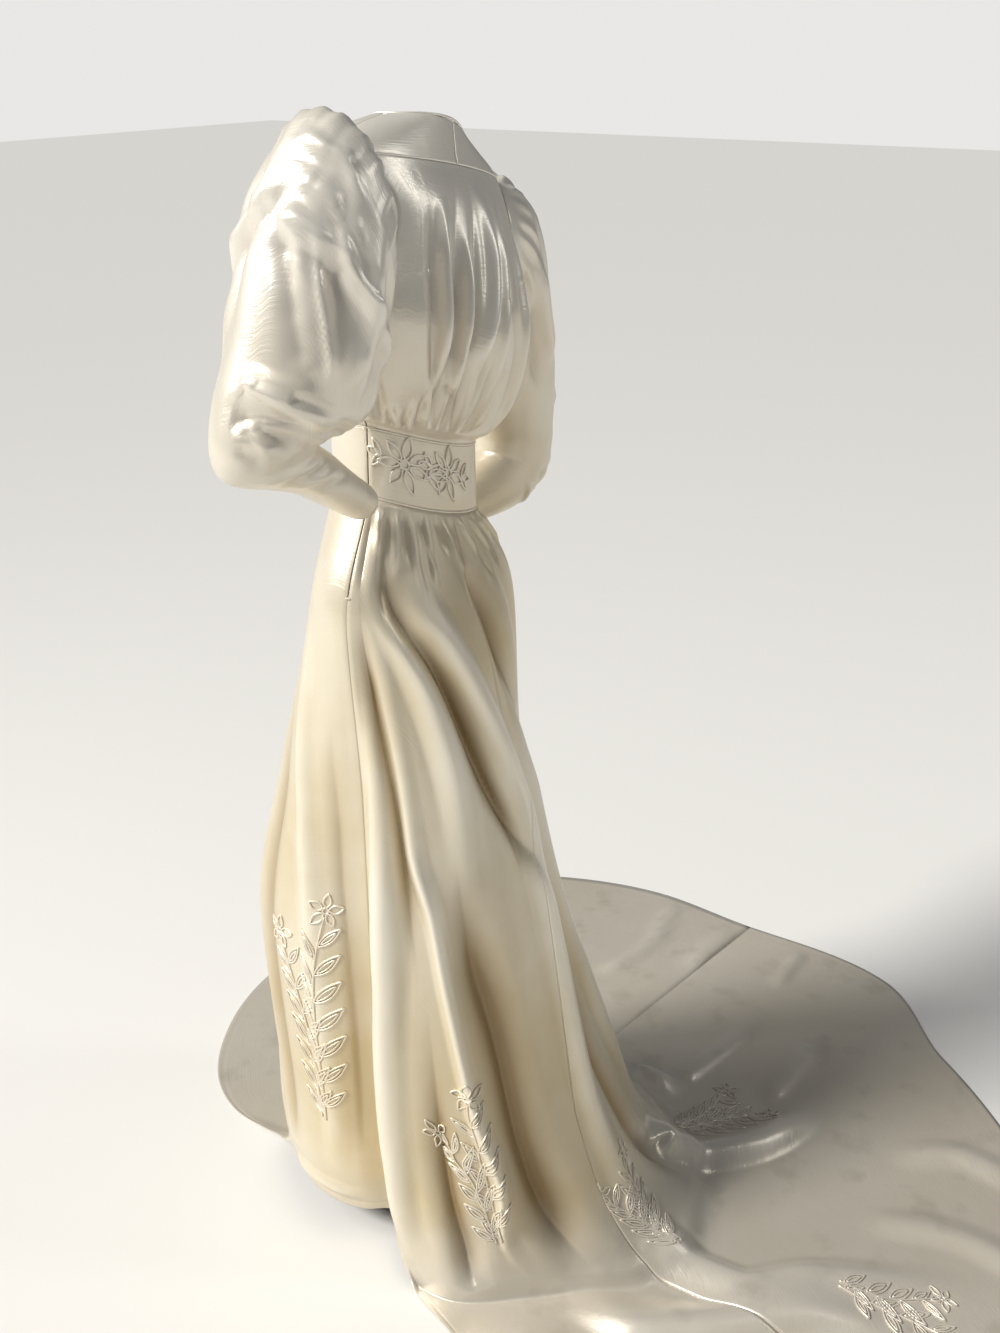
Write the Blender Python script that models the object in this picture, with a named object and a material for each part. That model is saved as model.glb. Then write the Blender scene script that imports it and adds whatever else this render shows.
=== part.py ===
"""Long-sleeved satin wedding gown with a train, built as cloth walls cut and seamed like the real one.

Heights in the tables are above the floor. The wearer faces -Y and the wearer's left is +X.
An angle of 0 is the centre front, 90 the left side, 180 the centre back and 270 the right side.
"""

import math
from collections import namedtuple

import bmesh
import bpy
import numpy as np

# Driving sizes, in metres
SHOULDER_HEIGHT = 1.43
SATIN = 0.0016
SEAM = 0.0003
CORD_RADIUS = 0.0012
BINDING_RADIUS = 0.0016
FLOOR_CLEARANCE = 0.0004
WELD = 1e-6
CUT_MERGE = 1e-4
SKIRT_TOP = 0.015

# Where the pieces meet, in degrees
LEFT_SIDE = 96.0
CENTRE_BACK = 180.0
BODICE_RIGHT_SIDE = 264.0
SKIRT_RIGHT_SIDE = 262.0

IVORY = (0.86, 0.80, 0.68, 1.0)
IVORY_SHADE = (0.80, 0.73, 0.60, 1.0)
SATIN_ROUGHNESS = 0.32

# Torso rings from the foot of the waistband up to the neckline. Each is half an ellipse in front and half
# behind. The height leans by tilt for each metre to the wearer's left, because the right hip is dropped.
Ring = namedtuple("Ring", "width front back side_h front_h back_h tilt shift_x")
TORSO = [
    Ring(0.107, 0.099, 0.049, 1.060, 1.060, 1.050, 0.28, 0.000),
    Ring(0.106, 0.098, 0.048, 1.142, 1.142, 1.134, 0.28, 0.000),
    Ring(0.126, 0.110, 0.070, 1.156, 1.160, 1.152, 0.27, 0.000),
    Ring(0.148, 0.122, 0.100, 1.205, 1.210, 1.200, 0.24, 0.000),
    Ring(0.162, 0.125, 0.115, 1.275, 1.280, 1.275, 0.21, 0.000),
    Ring(0.163, 0.120, 0.104, 1.302, 1.340, 1.345, 0.19, 0.000),
    Ring(0.164, 0.108, 0.085, 1.385, 1.395, 1.410, 0.18, 0.000),
    Ring(0.152, 0.088, 0.063, 1.446, 1.430, 1.452, 0.18, 0.000),
    Ring(0.108, 0.068, 0.055, 1.474, 1.450, 1.480, 0.24, -0.006),
    Ring(0.066, 0.055, 0.050, 1.488, 1.462, 1.500, 0.35, -0.012),
]
NECK = 9
NORMAL_STEP = 0.02
ARMHOLE_FRONT_ANGLE = 26.0
ARMHOLE_BACK_ANGLE = 40.0
ARMHOLE_EASE = 0.36

# Gathers of the bodice: the column of points they follow, how far the fold stands out, and the ring stations
# between which it runs.
Gather = namedtuple("Gather", "column rise low high")
BACK_GATHERS = [
    Gather(7, 0.003, 1.2, 5.6),
    Gather(9, -0.005, 1.0, 6.4),
    Gather(11, 0.007, 1.0, 7.0),
    Gather(13, -0.008, 1.0, 7.0),
    Gather(15, 0.008, 1.0, 7.0),
    Gather(17, -0.009, 1.0, 7.0),
    Gather(19, 0.008, 1.0, 7.0),
    Gather(21, -0.008, 1.0, 6.8),
    Gather(23, 0.007, 1.0, 6.4),
    Gather(25, -0.004, 1.2, 5.6),
]
FRONT_GATHERS = [
    Gather(4, 0.005, 1.0, 4.6),
    Gather(6, -0.006, 1.0, 5.0),
    Gather(8, 0.005, 1.0, 4.6),
    Gather(12, 0.005, 1.0, 4.6),
    Gather(14, -0.006, 1.0, 5.0),
    Gather(16, 0.005, 1.0, 4.6),
]

# Each spoke is a line down the skirt. Its columns are the distance from the body's axis at the thigh, the
# knee, low down, where the cloth meets the floor, and at the hem, and the heights of the last two.
Spoke = namedtuple("Spoke", "angle thigh knee low touch hem touch_h hem_h")
SPOKES = [
    Spoke(0, 0.165, 0.205, 0.225, 0.270, 0.420, 0.00, 0.00),
    Spoke(5, 0.172, 0.215, 0.225, 0.255, 0.365, 0.00, 0.00),
    Spoke(12, 0.178, 0.222, 0.222, 0.235, 0.255, 0.02, 0.01),
    Spoke(30, 0.186, 0.228, 0.216, 0.212, 0.206, 0.10, 0.055),
    Spoke(60, 0.172, 0.196, 0.185, 0.180, 0.172, 0.10, 0.050),
    Spoke(84, 0.162, 0.170, 0.160, 0.152, 0.145, 0.10, 0.050),
    Spoke(97, 0.155, 0.150, 0.134, 0.127, 0.122, 0.09, 0.045),
    Spoke(108, 0.166, 0.184, 0.186, 0.178, 0.170, 0.07, 0.030),
    Spoke(120, 0.165, 0.188, 0.200, 0.212, 0.228, 0.00, 0.00),
    Spoke(131, 0.160, 0.190, 0.212, 0.240, 0.310, 0.00, 0.00),
    Spoke(142, 0.155, 0.190, 0.218, 0.255, 0.570, 0.00, 0.00),
    Spoke(151, 0.150, 0.190, 0.224, 0.268, 0.918, 0.00, 0.00),
    Spoke(165, 0.145, 0.190, 0.234, 0.310, 1.230, 0.00, 0.00),
    Spoke(178, 0.140, 0.188, 0.242, 0.390, 1.350, 0.00, 0.00),
    Spoke(195, 0.132, 0.182, 0.250, 0.435, 1.190, 0.00, 0.00),
    Spoke(212, 0.128, 0.174, 0.252, 0.430, 0.900, 0.00, 0.00),
    Spoke(231, 0.136, 0.184, 0.262, 0.420, 0.889, 0.00, 0.00),
    Spoke(245, 0.150, 0.195, 0.270, 0.418, 0.945, 0.00, 0.00),
    Spoke(264, 0.168, 0.202, 0.270, 0.405, 0.900, 0.00, 0.00),
    Spoke(276, 0.170, 0.205, 0.262, 0.385, 0.915, 0.00, 0.00),
    Spoke(290, 0.170, 0.205, 0.252, 0.360, 0.900, 0.00, 0.00),
    Spoke(305, 0.168, 0.205, 0.244, 0.340, 0.800, 0.00, 0.00),
    Spoke(320, 0.166, 0.205, 0.238, 0.315, 0.700, 0.00, 0.00),
    Spoke(334, 0.164, 0.204, 0.230, 0.292, 0.613, 0.00, 0.00),
    Spoke(347, 0.164, 0.204, 0.226, 0.280, 0.520, 0.00, 0.00),
]
HIP = Ring(0.165, 0.119, 0.091, 0.930, 0.930, 0.930, 0.05, 0.000)
THIGH_H = 0.71
KNEE_H = 0.48
LOW_H = 0.22
# Between the low ring and the floor the cloth sweeps out: shares of the way out and of the height left.
FOOT_OUT, FOOT_UP = 0.36, 0.38
SKIM_OUT, SKIM_UP = 0.70, 0.11
TOUCH, HEM = 7, 8
SKIRT_ROWS = [0, 0.35, 0.7, 1, 1.4, 1.8, 2.2, 2.6, 3, 3.5, 4, 4.7, 5.4, 6.1, 6.6, 7,
              7.12, 7.26, 7.42, 7.6, 7.8, 8]

# Folds of the skirt: an angle, the half width in degrees, how far the fold stands out low down, and the
# station at which it starts.
Fold = namedtuple("Fold", "angle half_width rise start")
SKIRT_FOLDS = [
    Fold(20, 12, 0.006, 1.5),
    Fold(44, 12, -0.008, 1.2),
    Fold(64, 10, 0.008, 1.5),
    Fold(119, 8, -0.010, 0.8),
    Fold(130, 8, 0.013, 0.6),
    Fold(144, 10, -0.016, 0.5),
    Fold(160, 9, 0.016, 0.5),
    Fold(174, 9, -0.014, 0.5),
    Fold(188, 9, 0.010, 0.8),
    Fold(202, 8, -0.008, 0.8),
    Fold(232, 10, 0.008, 1.0),
    Fold(250, 10, -0.010, 1.0),
    Fold(272, 11, 0.010, 1.2),
    Fold(292, 10, -0.009, 1.2),
    Fold(312, 11, 0.008, 1.4),
    Fold(334, 11, -0.007, 1.4),
]

# Long rolls of cloth on the floor, from one end to the other, with their height and half width.
Roll = namedtuple("Roll", "x0 y0 x1 y1 height half_width")
FLOOR_ROLLS = [
    Roll(0.086, 0.253, 0.097, 0.362, 0.018, 0.034),
    Roll(0.097, 0.362, 0.048, 0.455, 0.018, 0.034),
    Roll(0.048, 0.455, -0.056, 0.581, 0.014, 0.034),
    Roll(-0.048, 0.385, -0.050, 0.469, 0.020, 0.036),
    Roll(-0.050, 0.469, -0.120, 0.556, 0.018, 0.036),
    Roll(-0.120, 0.556, -0.232, 0.774, 0.014, 0.036),
    Roll(-0.208, 0.279, -0.333, 0.395, 0.022, 0.034),
    Roll(-0.333, 0.395, -0.490, 0.446, 0.016, 0.032),
    Roll(-0.428, 0.223, -0.640, 0.260, 0.009, 0.028),
    Roll(-0.465, 0.360, -0.676, 0.383, 0.009, 0.028),
    Roll(-0.600, -0.055, -0.900, -0.020, 0.008, 0.030),
    Roll(-0.400, -0.180, -0.700, -0.340, 0.008, 0.034),
    Roll(-0.200, -0.340, -0.300, -0.480, 0.007, 0.032),
]

# Sleeves, from the armhole to the wrist. The outer and inner points lie in the plane of the arm, and the
# ring between them is half_depth deep each way.
Cuff = namedtuple("Cuff", "outer_x outer_h inner_x inner_h mid_y half_depth")
LEFT_SLEEVE = [
    Cuff(0.180, 1.508, 0.176, 1.322, 0.034, 0.068),
    Cuff(0.212, 1.520, 0.180, 1.298, 0.040, 0.078),
    Cuff(0.250, 1.495, 0.182, 1.268, 0.042, 0.081),
    Cuff(0.283, 1.435, 0.184, 1.238, 0.041, 0.082),
    Cuff(0.306, 1.365, 0.186, 1.215, 0.037, 0.081),
    Cuff(0.324, 1.300, 0.192, 1.199, 0.030, 0.076),
    Cuff(0.340, 1.245, 0.205, 1.193, 0.018, 0.068),
    Cuff(0.350, 1.195, 0.217, 1.194, 0.010, 0.056),
    Cuff(0.336, 1.160, 0.222, 1.190, 0.004, 0.048),
    Cuff(0.290, 1.144, 0.216, 1.182, 0.006, 0.042),
    Cuff(0.248, 1.130, 0.202, 1.170, 0.012, 0.038),
    Cuff(0.205, 1.106, 0.184, 1.152, 0.018, 0.034),
    Cuff(0.160, 1.080, 0.148, 1.122, 0.024, 0.030),
]
RIGHT_SLEEVE = [
    Cuff(0.176, 1.428, 0.172, 1.262, -0.006, 0.058),
    Cuff(0.202, 1.418, 0.176, 1.242, -0.012, 0.064),
    Cuff(0.232, 1.384, 0.180, 1.216, -0.016, 0.067),
    Cuff(0.260, 1.332, 0.186, 1.188, -0.019, 0.068),
    Cuff(0.284, 1.270, 0.192, 1.155, -0.022, 0.067),
    Cuff(0.304, 1.200, 0.198, 1.126, -0.025, 0.064),
    Cuff(0.318, 1.130, 0.206, 1.099, -0.028, 0.059),
    Cuff(0.327, 1.066, 0.214, 1.079, -0.030, 0.053),
    Cuff(0.322, 1.012, 0.216, 1.066, -0.032, 0.048),
    Cuff(0.290, 0.983, 0.208, 1.056, -0.038, 0.043),
    Cuff(0.250, 0.970, 0.198, 1.048, -0.046, 0.039),
    Cuff(0.205, 0.967, 0.184, 1.038, -0.056, 0.034),
    Cuff(0.165, 0.972, 0.160, 1.028, -0.066, 0.030),
]
LOOP_SEGMENTS = 12
SLEEVE_COLUMNS = 24
SLEEVE_GATHERS = 12
GATHER_DEPTH = 0.0035
GATHER_FADE_ROWS = 3.0
ARMHOLE_GAP = 0.0006
# Soft diagonal folds of a sleeve: row and angle at the middle, how the angle drifts with each row, the half
# length in rows, the half width in degrees and how far the fold stands out.
Crease = namedtuple("Crease", "row angle drift half_rows half_width rise")
LEFT_CREASES = [
    Crease(3.4, 75, -9, 3.4, 26, 0.009),
    Crease(3.6, 112, -7, 3.2, 24, -0.010),
    Crease(5.0, 40, -10, 3.0, 24, -0.008),
    Crease(3.0, 250, 8, 3.0, 28, -0.010),
    Crease(6.6, 150, 4, 1.6, 26, -0.007),
]
RIGHT_CREASES = [
    Crease(4.0, 70, 8, 3.2, 28, 0.007),
    Crease(4.4, 105, 8, 3.2, 26, -0.008),
    Crease(4.0, 250, -8, 3.2, 28, -0.008),
]

# Stations of the torso at which each piece has a row of points
BAND_ROWS = [0.025, 0.5, 0.93]
BODICE_ROWS = [1.1, 1.5, 2.0, 2.6, 3.3, 4.1, 5.0]
ARMHOLE_ROWS = [5.0, 5.15, 5.5, 6.0, 6.5, 6.85, 7.0]
YOKE_ROWS = [7.0, 7.6, 8.2, 8.6, 9.0]
YOKE_GAP = 0.006
BACK_COLUMNS = 30
FRONT_COLUMNS = 20
YOKE_COLUMNS = BACK_COLUMNS // 2
SKIRT_FRONT_COLUMNS = 24
SKIRT_BACK_LEFT_COLUMNS = 24
SKIRT_BACK_RIGHT_COLUMNS = 20

# The opening in the left side seam, and the strip behind it
OPENING = 0.0016
OPENING_TOP = 2.6
OPENING_FOOT = 0.75
UNDERLAP_HALF_ANGLE = 3.6
UNDERLAP_INSET = 0.0034
BAR_HALF_ANGLE = 2.0
UNDERLAP_SKIRT_ROWS = [OPENING_FOOT, 0.5, 0.25, 0.08]
UNDERLAP_TORSO_ROWS = [0, 0.15, 0.5, 0.85, 1.0, 1.15, 1.4, 1.7, 2.1, OPENING_TOP]

# Corded leaf sprays. Each stem runs from a foot to a head, given as the angle and the station on its panel.
Spray = namedtuple("Spray", "name panel foot_angle foot_row head_angle head_row pairs leaf")
SPRAYS = [
    Spray("spray_front_left", "skirt_front", 70, 4.1, 67, 2.75, 5, 0.050),
    Spray("spray_front_right", "skirt_front", -62, 4.1, -58, 2.75, 5, 0.050),
    Spray("spray_back_left", "skirt_back_left", 147, 5.0, 135, 3.65, 3, 0.046),
    Spray("spray_back_centre", "skirt_back_right", 188, 6.1, 187, 4.6, 4, 0.040),
    Spray("spray_train", "skirt_back_right", 229, 6.5, 231, 7.36, 4, 0.044),
    Spray("spray_train_edge", "skirt_back_right", 191, 7.34, 190, 7.52, 3, 0.044),
    Spray("band_spray_left", "waistband_back", 121, 0.52, 148, 0.5, 3, 0.016),
    Spray("band_spray_back", "waistband_back", 160, 0.5, 192, 0.5, 3, 0.016),
]
STEM_HALF_WIDTH = 0.0022
SPRAY_HEIGHT = 0.0018
LEAF_LEAN = math.radians(48)
# Corners of a leaf, from the lower edge round its tip to the upper edge: shares of its length, along and across
LEAF_CORNERS = ((0.10, 0.07), (0.50, 0.20), (1.0, 0.0), (0.45, -0.20))
SPRAY_GAP = 0.0004


def clear_scene():
    for thing in list(bpy.data.objects):
        bpy.data.objects.remove(thing, do_unlink=True)


def satin(name, colour):
    """A satin material with the given base colour."""
    made = bpy.data.materials.new(name)
    made.use_nodes = True
    shader = made.node_tree.nodes["Principled BSDF"]
    shader.inputs["Base Color"].default_value = colour
    shader.inputs["Roughness"].default_value = SATIN_ROUGHNESS
    shader.inputs["Metallic"].default_value = 0.0
    return made


def smooth(xs, ys, x):
    """Reads at x the cubic curve through the points (xs, ys) that never overshoots them."""
    xs = np.asarray(xs, float)
    ys = np.asarray(ys, float)
    steps = np.diff(xs)
    slopes = np.diff(ys) / steps
    tangents = np.zeros(len(xs))
    tangents[0] = slopes[0]
    tangents[-1] = slopes[-1]
    for i in range(1, len(xs) - 1):
        before, after = slopes[i - 1], slopes[i]
        if before * after > 0:
            heavy = 2 * steps[i] + steps[i - 1]
            light = steps[i] + 2 * steps[i - 1]
            tangents[i] = (heavy + light) / (heavy / before + light / after)
    i = int(np.clip(np.searchsorted(xs, x) - 1, 0, len(xs) - 2))
    t = (x - xs[i]) / steps[i]
    start = (1 + 2 * t) * (1 - t) ** 2 * ys[i] + t * (1 - t) ** 2 * steps[i] * tangents[i]
    end = t * t * (3 - 2 * t) * ys[i + 1] + t * t * (t - 1) * steps[i] * tangents[i + 1]
    return float(start + end)


def bump(offset, half_width):
    """A soft hump, 1 at the middle and 0 at the half width."""
    share = abs(offset) / half_width
    return 0.5 + 0.5 * math.cos(math.pi * share) if share < 1 else 0.0


def ramp(value, low, high):
    """Rises smoothly from 0 at low to 1 at high."""
    share = min(max((value - low) / (high - low), 0.0), 1.0)
    return share * share * (3 - 2 * share)


def turn_between(angle, middle):
    """The angle from the middle, the short way round."""
    return (angle - middle + 180.0) % 360.0 - 180.0


def ring_point(ring, angle):
    """A point on a ring of the body."""
    sine = math.sin(math.radians(angle))
    cosine = math.cos(math.radians(angle))
    depth = ring.front if cosine > 0 else ring.back
    end_h = ring.front_h if cosine > 0 else ring.back_h
    x = ring.shift_x + ring.width * sine
    height = ring.side_h * sine**2 + end_h * cosine**2 + ring.tilt * x
    return np.array([x, -depth * cosine, height])


def torso_point(angle, station):
    """A point of the bodice without its gathers. Station 0 is the foot of the waistband, and 9 the neckline."""
    rings = [ring_point(ring, angle) for ring in TORSO]
    return np.array([smooth(range(len(TORSO)), [r[k] for r in rings], station) for k in range(3)])


def gather_rise(gathers, column, station):
    """How far the gathers stand out at a place of the bodice."""
    rise = 0.0
    for fold in gathers:
        reach = min(ramp(station, fold.low, fold.low + 0.8), 1 - ramp(station, fold.high - 1.2, fold.high))
        rise += fold.rise * reach * bump(column - fold.column, 2)
    return rise


def spoke_at(angle):
    """The spoke at any angle, read between the rows of the table."""
    table = SPOKES[-3:] + SPOKES + SPOKES[:3]
    count = len(SPOKES)
    angles = [s.angle - 360 * (i < 3) + 360 * (i >= count + 3) for i, s in enumerate(table)]
    turned = angle % 360.0
    return [smooth(angles, [s[k] for s in table], turned) for k in range(1, len(Spoke._fields))]


def skirt_controls(angle):
    """The points down one line of the skirt, from the waist to the hem."""
    thigh, knee, low, touch, hem, touch_h, hem_h = spoke_at(angle)
    outward = np.array([math.sin(math.radians(angle)), -math.cos(math.radians(angle))])
    lift = SATIN + FLOOR_CLEARANCE
    steps = [
        (thigh, THIGH_H),
        (knee, KNEE_H),
        (low, LOW_H),
        (low + FOOT_OUT * (touch - low), touch_h + FOOT_UP * (LOW_H - touch_h) + lift),
        (low + SKIM_OUT * (touch - low), touch_h + SKIM_UP * (LOW_H - touch_h) + lift),
        (touch, touch_h + lift),
        (hem, hem_h + lift),
    ]
    points = [ring_point(TORSO[0], angle), ring_point(HIP, angle)]
    points += [np.array([*(outward * out), height]) for out, height in steps]
    return points


def floor_relief(x, y):
    """How far the rolls lift the cloth that lies at this point of the floor."""
    lift = 0.0
    for roll in FLOOR_ROLLS:
        along = np.array([roll.x1 - roll.x0, roll.y1 - roll.y0])
        away = np.array([x - roll.x0, y - roll.y0])
        share = float(away @ along / (along @ along))
        nearest = along * min(max(share, 0.0), 1.0)
        lift = max(lift, roll.height * bump(float(np.linalg.norm(away - nearest)), 2 * roll.half_width))
    return lift


def skirt_point(angle, station):
    """A point of the skirt. Station 0 is the waist, 7 is where it meets the floor and 8 is the hem."""
    controls = skirt_controls(angle)
    point = np.array([smooth(range(len(controls)), [c[k] for c in controls], station) for k in range(3)])
    outward = np.array([math.sin(math.radians(angle)), -math.cos(math.radians(angle)), 0.0])
    for fold in SKIRT_FOLDS:
        reach = ramp(station, fold.start, 4.5) * (1 - ramp(station, 6.4, 7.3))
        point += outward * fold.rise * reach * bump(turn_between(angle, fold.angle), fold.half_width)
    point[2] += floor_relief(point[0], point[1]) * ramp(station, TOUCH - 0.4, TOUCH + 0.3)
    return point


def grid_normals(points):
    """The unit normals of a grid whose rows climb and whose columns run to the wearer's left."""
    normals = np.cross(np.gradient(points, axis=1), np.gradient(points, axis=0))
    return normals / np.linalg.norm(normals, axis=2, keepdims=True)


def outward_normals(points, closed=False):
    """The normals of a grid. A closed one takes in the columns on the far side of its join."""
    if not closed:
        return grid_normals(points)
    wrapped = np.concatenate([points[:, -2:-1], points, points[:, 1:2]], axis=1)
    return grid_normals(wrapped)[:, 1:-1]


def cloth_wall(name, outer, normals, material, closed=False, thickness=SATIN, on_floor=False):
    """Makes a closed wall from a grid of outer points: the same grid moved in, and rims round its edges."""
    inner = outer - normals * thickness
    if on_floor:
        inner[:, :, 2] = np.maximum(inner[:, :, 2], FLOOR_CLEARANCE)
    rows, columns = outer.shape[:2]
    outer_flat = outer.reshape(-1, 3)
    inner_flat = inner.reshape(-1, 3)
    built = bmesh.new()
    place = built.verts.layers.int.new("place")
    bmesh.ops.create_grid(built, x_segments=columns - 1, y_segments=rows - 1, size=0.5)
    bmesh.ops.triangulate(built, faces=built.faces[:], quad_method="FIXED")
    for number, vert in enumerate(built.verts):
        vert[place] = number
        vert.co = inner_flat[number]
    if closed:
        bmesh.ops.remove_doubles(built, verts=built.verts[:], dist=WELD)
    grown = bmesh.ops.extrude_face_region(built, geom=built.faces[:])["geom"]
    for vert in grown:
        if isinstance(vert, bmesh.types.BMVert):
            vert.co = outer_flat[vert[place]]
    bmesh.ops.recalc_face_normals(built, faces=built.faces[:])
    return finish(name, built, material)


def finish(name, built, material):
    """Turns a bmesh into a named object that stands with the shoulders at height 0."""
    bmesh.ops.translate(built, verts=built.verts[:], vec=(0, 0, -SHOULDER_HEIGHT))
    data = bpy.data.meshes.new(name)
    built.to_mesh(data)
    built.free()
    data.shade_smooth()
    data.materials.append(material)
    made = bpy.data.objects.new(name, data)
    bpy.context.scene.collection.objects.link(made)
    return made


def spread(first, last, count):
    return [first + (last - first) * i / count for i in range(count + 1)]


def armhole_share(row):
    """How wide the armhole is at a station, from 0 at the underarm and the shoulder to 1 between them."""
    share = min(abs(row - (ARMHOLE_ROWS[0] + ARMHOLE_ROWS[-1]) / 2), 1.0)
    return math.sqrt(1 - share * share)


def edge_angle(surface, angle, station, direction, gap):
    """The angle of a panel's edge, held back from the seam line by half the gap."""
    here = surface(angle, station)
    beside = surface(angle + 1.0, station)
    return angle + direction * 0.5 * gap / np.linalg.norm(beside - here)


def surface_normal(surface, angle, row, last_row, climb):
    """The unit normal at one place of a surface. climb is 1 where its rows count upwards, and otherwise -1."""
    low, high = max(row - NORMAL_STEP, 0), min(row + NORMAL_STEP, last_row)
    along = climb * (surface(angle, high) - surface(angle, low))
    across = surface(angle + 1, row) - surface(angle - 1, row)
    normal = np.cross(across, along)
    return normal / np.linalg.norm(normal)


def panel_grid(surface, rows, seams, columns, gap_at, last_row, armhole=(0, 0), gathers=()):
    """Outer points of a panel, and their normals.

    seams gives its first and last angle, and gap_at(angle, row) the gaps there. armhole gives how far its
    edges draw in at the armholes. The normals on the edges are the surface's own, so that two walls stand
    parallel at their seam.
    """
    grid = []
    places = []
    for row in rows:
        first = edge_angle(surface, seams[0], row, 1, gap_at(seams[0], row))
        last = edge_angle(surface, seams[1], row, -1, gap_at(seams[1], row))
        line = []
        for number, angle in enumerate(spread(first, last, columns)):
            share = number / columns
            angle += armhole[0] * armhole_share(row) * max(1 - share / ARMHOLE_EASE, 0)
            angle -= armhole[1] * armhole_share(row) * max(1 - (1 - share) / ARMHOLE_EASE, 0)
            line.append((angle, row))
        places.append(line)
        grid.append([surface(*place) for place in line])
    grid = np.array(grid)
    climb = 1 if rows[-1] > rows[0] else -1
    if gathers:
        for i, line in enumerate(places):
            for j, place in enumerate(line):
                rise = gather_rise(gathers, j, place[1])
                if rise:
                    grid[i, j] += rise * surface_normal(surface, *place, last_row, climb)
    normals = grid_normals(grid)
    for i in range(len(rows)):
        inside = 0 < i < len(rows) - 1
        for j in (0, columns) if inside else range(columns + 1):
            normals[i, j] = surface_normal(surface, *places[i][j], last_row, climb)
    return grid, normals


def torso_gap(angle, row):
    """The gap at a seam of the bodice or the band, wider at the opening in the left side."""
    at_left = abs(turn_between(angle, LEFT_SIDE)) < 1
    return OPENING if at_left and row < OPENING_TOP else SEAM


def skirt_gap(angle, row):
    """The gap at a seam of the skirt, wider at the opening in the left side."""
    at_left = abs(turn_between(angle, LEFT_SIDE)) < 1
    return OPENING if at_left and row < OPENING_FOOT else SEAM


def make_bodice(material):
    """The gathered back, the plain front and the two back yokes."""
    back_seams = (LEFT_SIDE, BODICE_RIGHT_SIDE)
    front_seams = (BODICE_RIGHT_SIDE - 360, LEFT_SIDE)
    rows = BODICE_ROWS + ARMHOLE_ROWS[1:-1] + [ARMHOLE_ROWS[-1] - YOKE_GAP]
    hole = (ARMHOLE_BACK_ANGLE, ARMHOLE_BACK_ANGLE)
    wall = panel_grid(torso_point, rows, back_seams, BACK_COLUMNS, torso_gap, NECK, hole, BACK_GATHERS)
    cloth_wall("bodice_back", *wall, material)
    rows = BODICE_ROWS + ARMHOLE_ROWS[1:] + YOKE_ROWS[1:]
    hole = (ARMHOLE_FRONT_ANGLE, ARMHOLE_FRONT_ANGLE)
    wall = panel_grid(torso_point, rows, front_seams, FRONT_COLUMNS, torso_gap, NECK, hole, FRONT_GATHERS)
    cloth_wall("bodice_front", *wall, material)
    rows = [YOKE_ROWS[0] + YOKE_GAP] + YOKE_ROWS[1:]
    for name, seams in (
        ("yoke_left", (LEFT_SIDE, CENTRE_BACK)),
        ("yoke_right", (CENTRE_BACK, BODICE_RIGHT_SIDE)),
    ):
        wall = panel_grid(torso_point, rows, seams, YOKE_COLUMNS, torso_gap, NECK)
        cloth_wall(name, *wall, material)


def make_band(material):
    """The inset waistband, in a front and a back. Returns the walls that carry embroidery."""
    panels = {}
    for name, seams, columns in (
        ("waistband_back", (LEFT_SIDE, BODICE_RIGHT_SIDE), BACK_COLUMNS),
        ("waistband_front", (BODICE_RIGHT_SIDE - 360, LEFT_SIDE), FRONT_COLUMNS),
    ):
        wall = panel_grid(torso_point, BAND_ROWS, seams, columns, torso_gap, NECK)
        cloth_wall(name, *wall, material)
        panels[name] = (*wall, seams, BAND_ROWS)
    return panels


def torso_normal(angle, station):
    """The outward unit normal of the torso."""
    return surface_normal(torso_point, angle, station, NECK, 1)


def cord(name, points, radius, material):
    """A round cord through the points, with closed ends."""
    curve = bpy.data.curves.new(name, "CURVE")
    curve.dimensions = "3D"
    curve.bevel_depth = radius
    curve.bevel_resolution = 0
    curve.use_fill_caps = True
    line = curve.splines.new("POLY")
    line.points.add(len(points) - 1)
    for slot, point in zip(line.points, points):
        slot.co = (point[0], point[1], point[2] - SHOULDER_HEIGHT, 1)
    curve.materials.append(material)
    made = bpy.data.objects.new(name, curve)
    bpy.context.scene.collection.objects.link(made)
    return made


def make_edges(material):
    """The corded edges of the band and the binding of the neckline."""
    open_angle = math.degrees(0.5 * OPENING / TORSO[0].width)
    back = spread(LEFT_SIDE + open_angle, BODICE_RIGHT_SIDE, BACK_COLUMNS)
    front = spread(BODICE_RIGHT_SIDE, LEFT_SIDE + 360 - open_angle, FRONT_COLUMNS)
    for name, station in (("band_cord_foot", 0), ("band_cord_top", 1)):
        points = []
        for angle in back + front[1:]:
            inset = torso_normal(angle, station) * (SATIN / 4)
            points.append(torso_point(angle, station) - inset)
        cord(name, points, CORD_RADIUS, material)
    slit = math.degrees(SEAM / TORSO[NECK].back)
    right = spread(CENTRE_BACK + slit, BODICE_RIGHT_SIDE, YOKE_COLUMNS)
    front = spread(BODICE_RIGHT_SIDE, LEFT_SIDE + 360, FRONT_COLUMNS)
    left = spread(LEFT_SIDE + 360, CENTRE_BACK + 360 - slit, YOKE_COLUMNS)
    points = []
    for angle in right + front[1:] + left[1:]:
        rim = torso_point(angle, NECK)
        upward = rim - torso_point(angle, NECK - NORMAL_STEP)
        upward /= np.linalg.norm(upward)
        inset = torso_normal(angle, NECK) * (SATIN / 2)
        points.append(rim + upward * (BINDING_RADIUS + 4 * SEAM) - inset)
    cord("neck_binding", points, BINDING_RADIUS, material)


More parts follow.
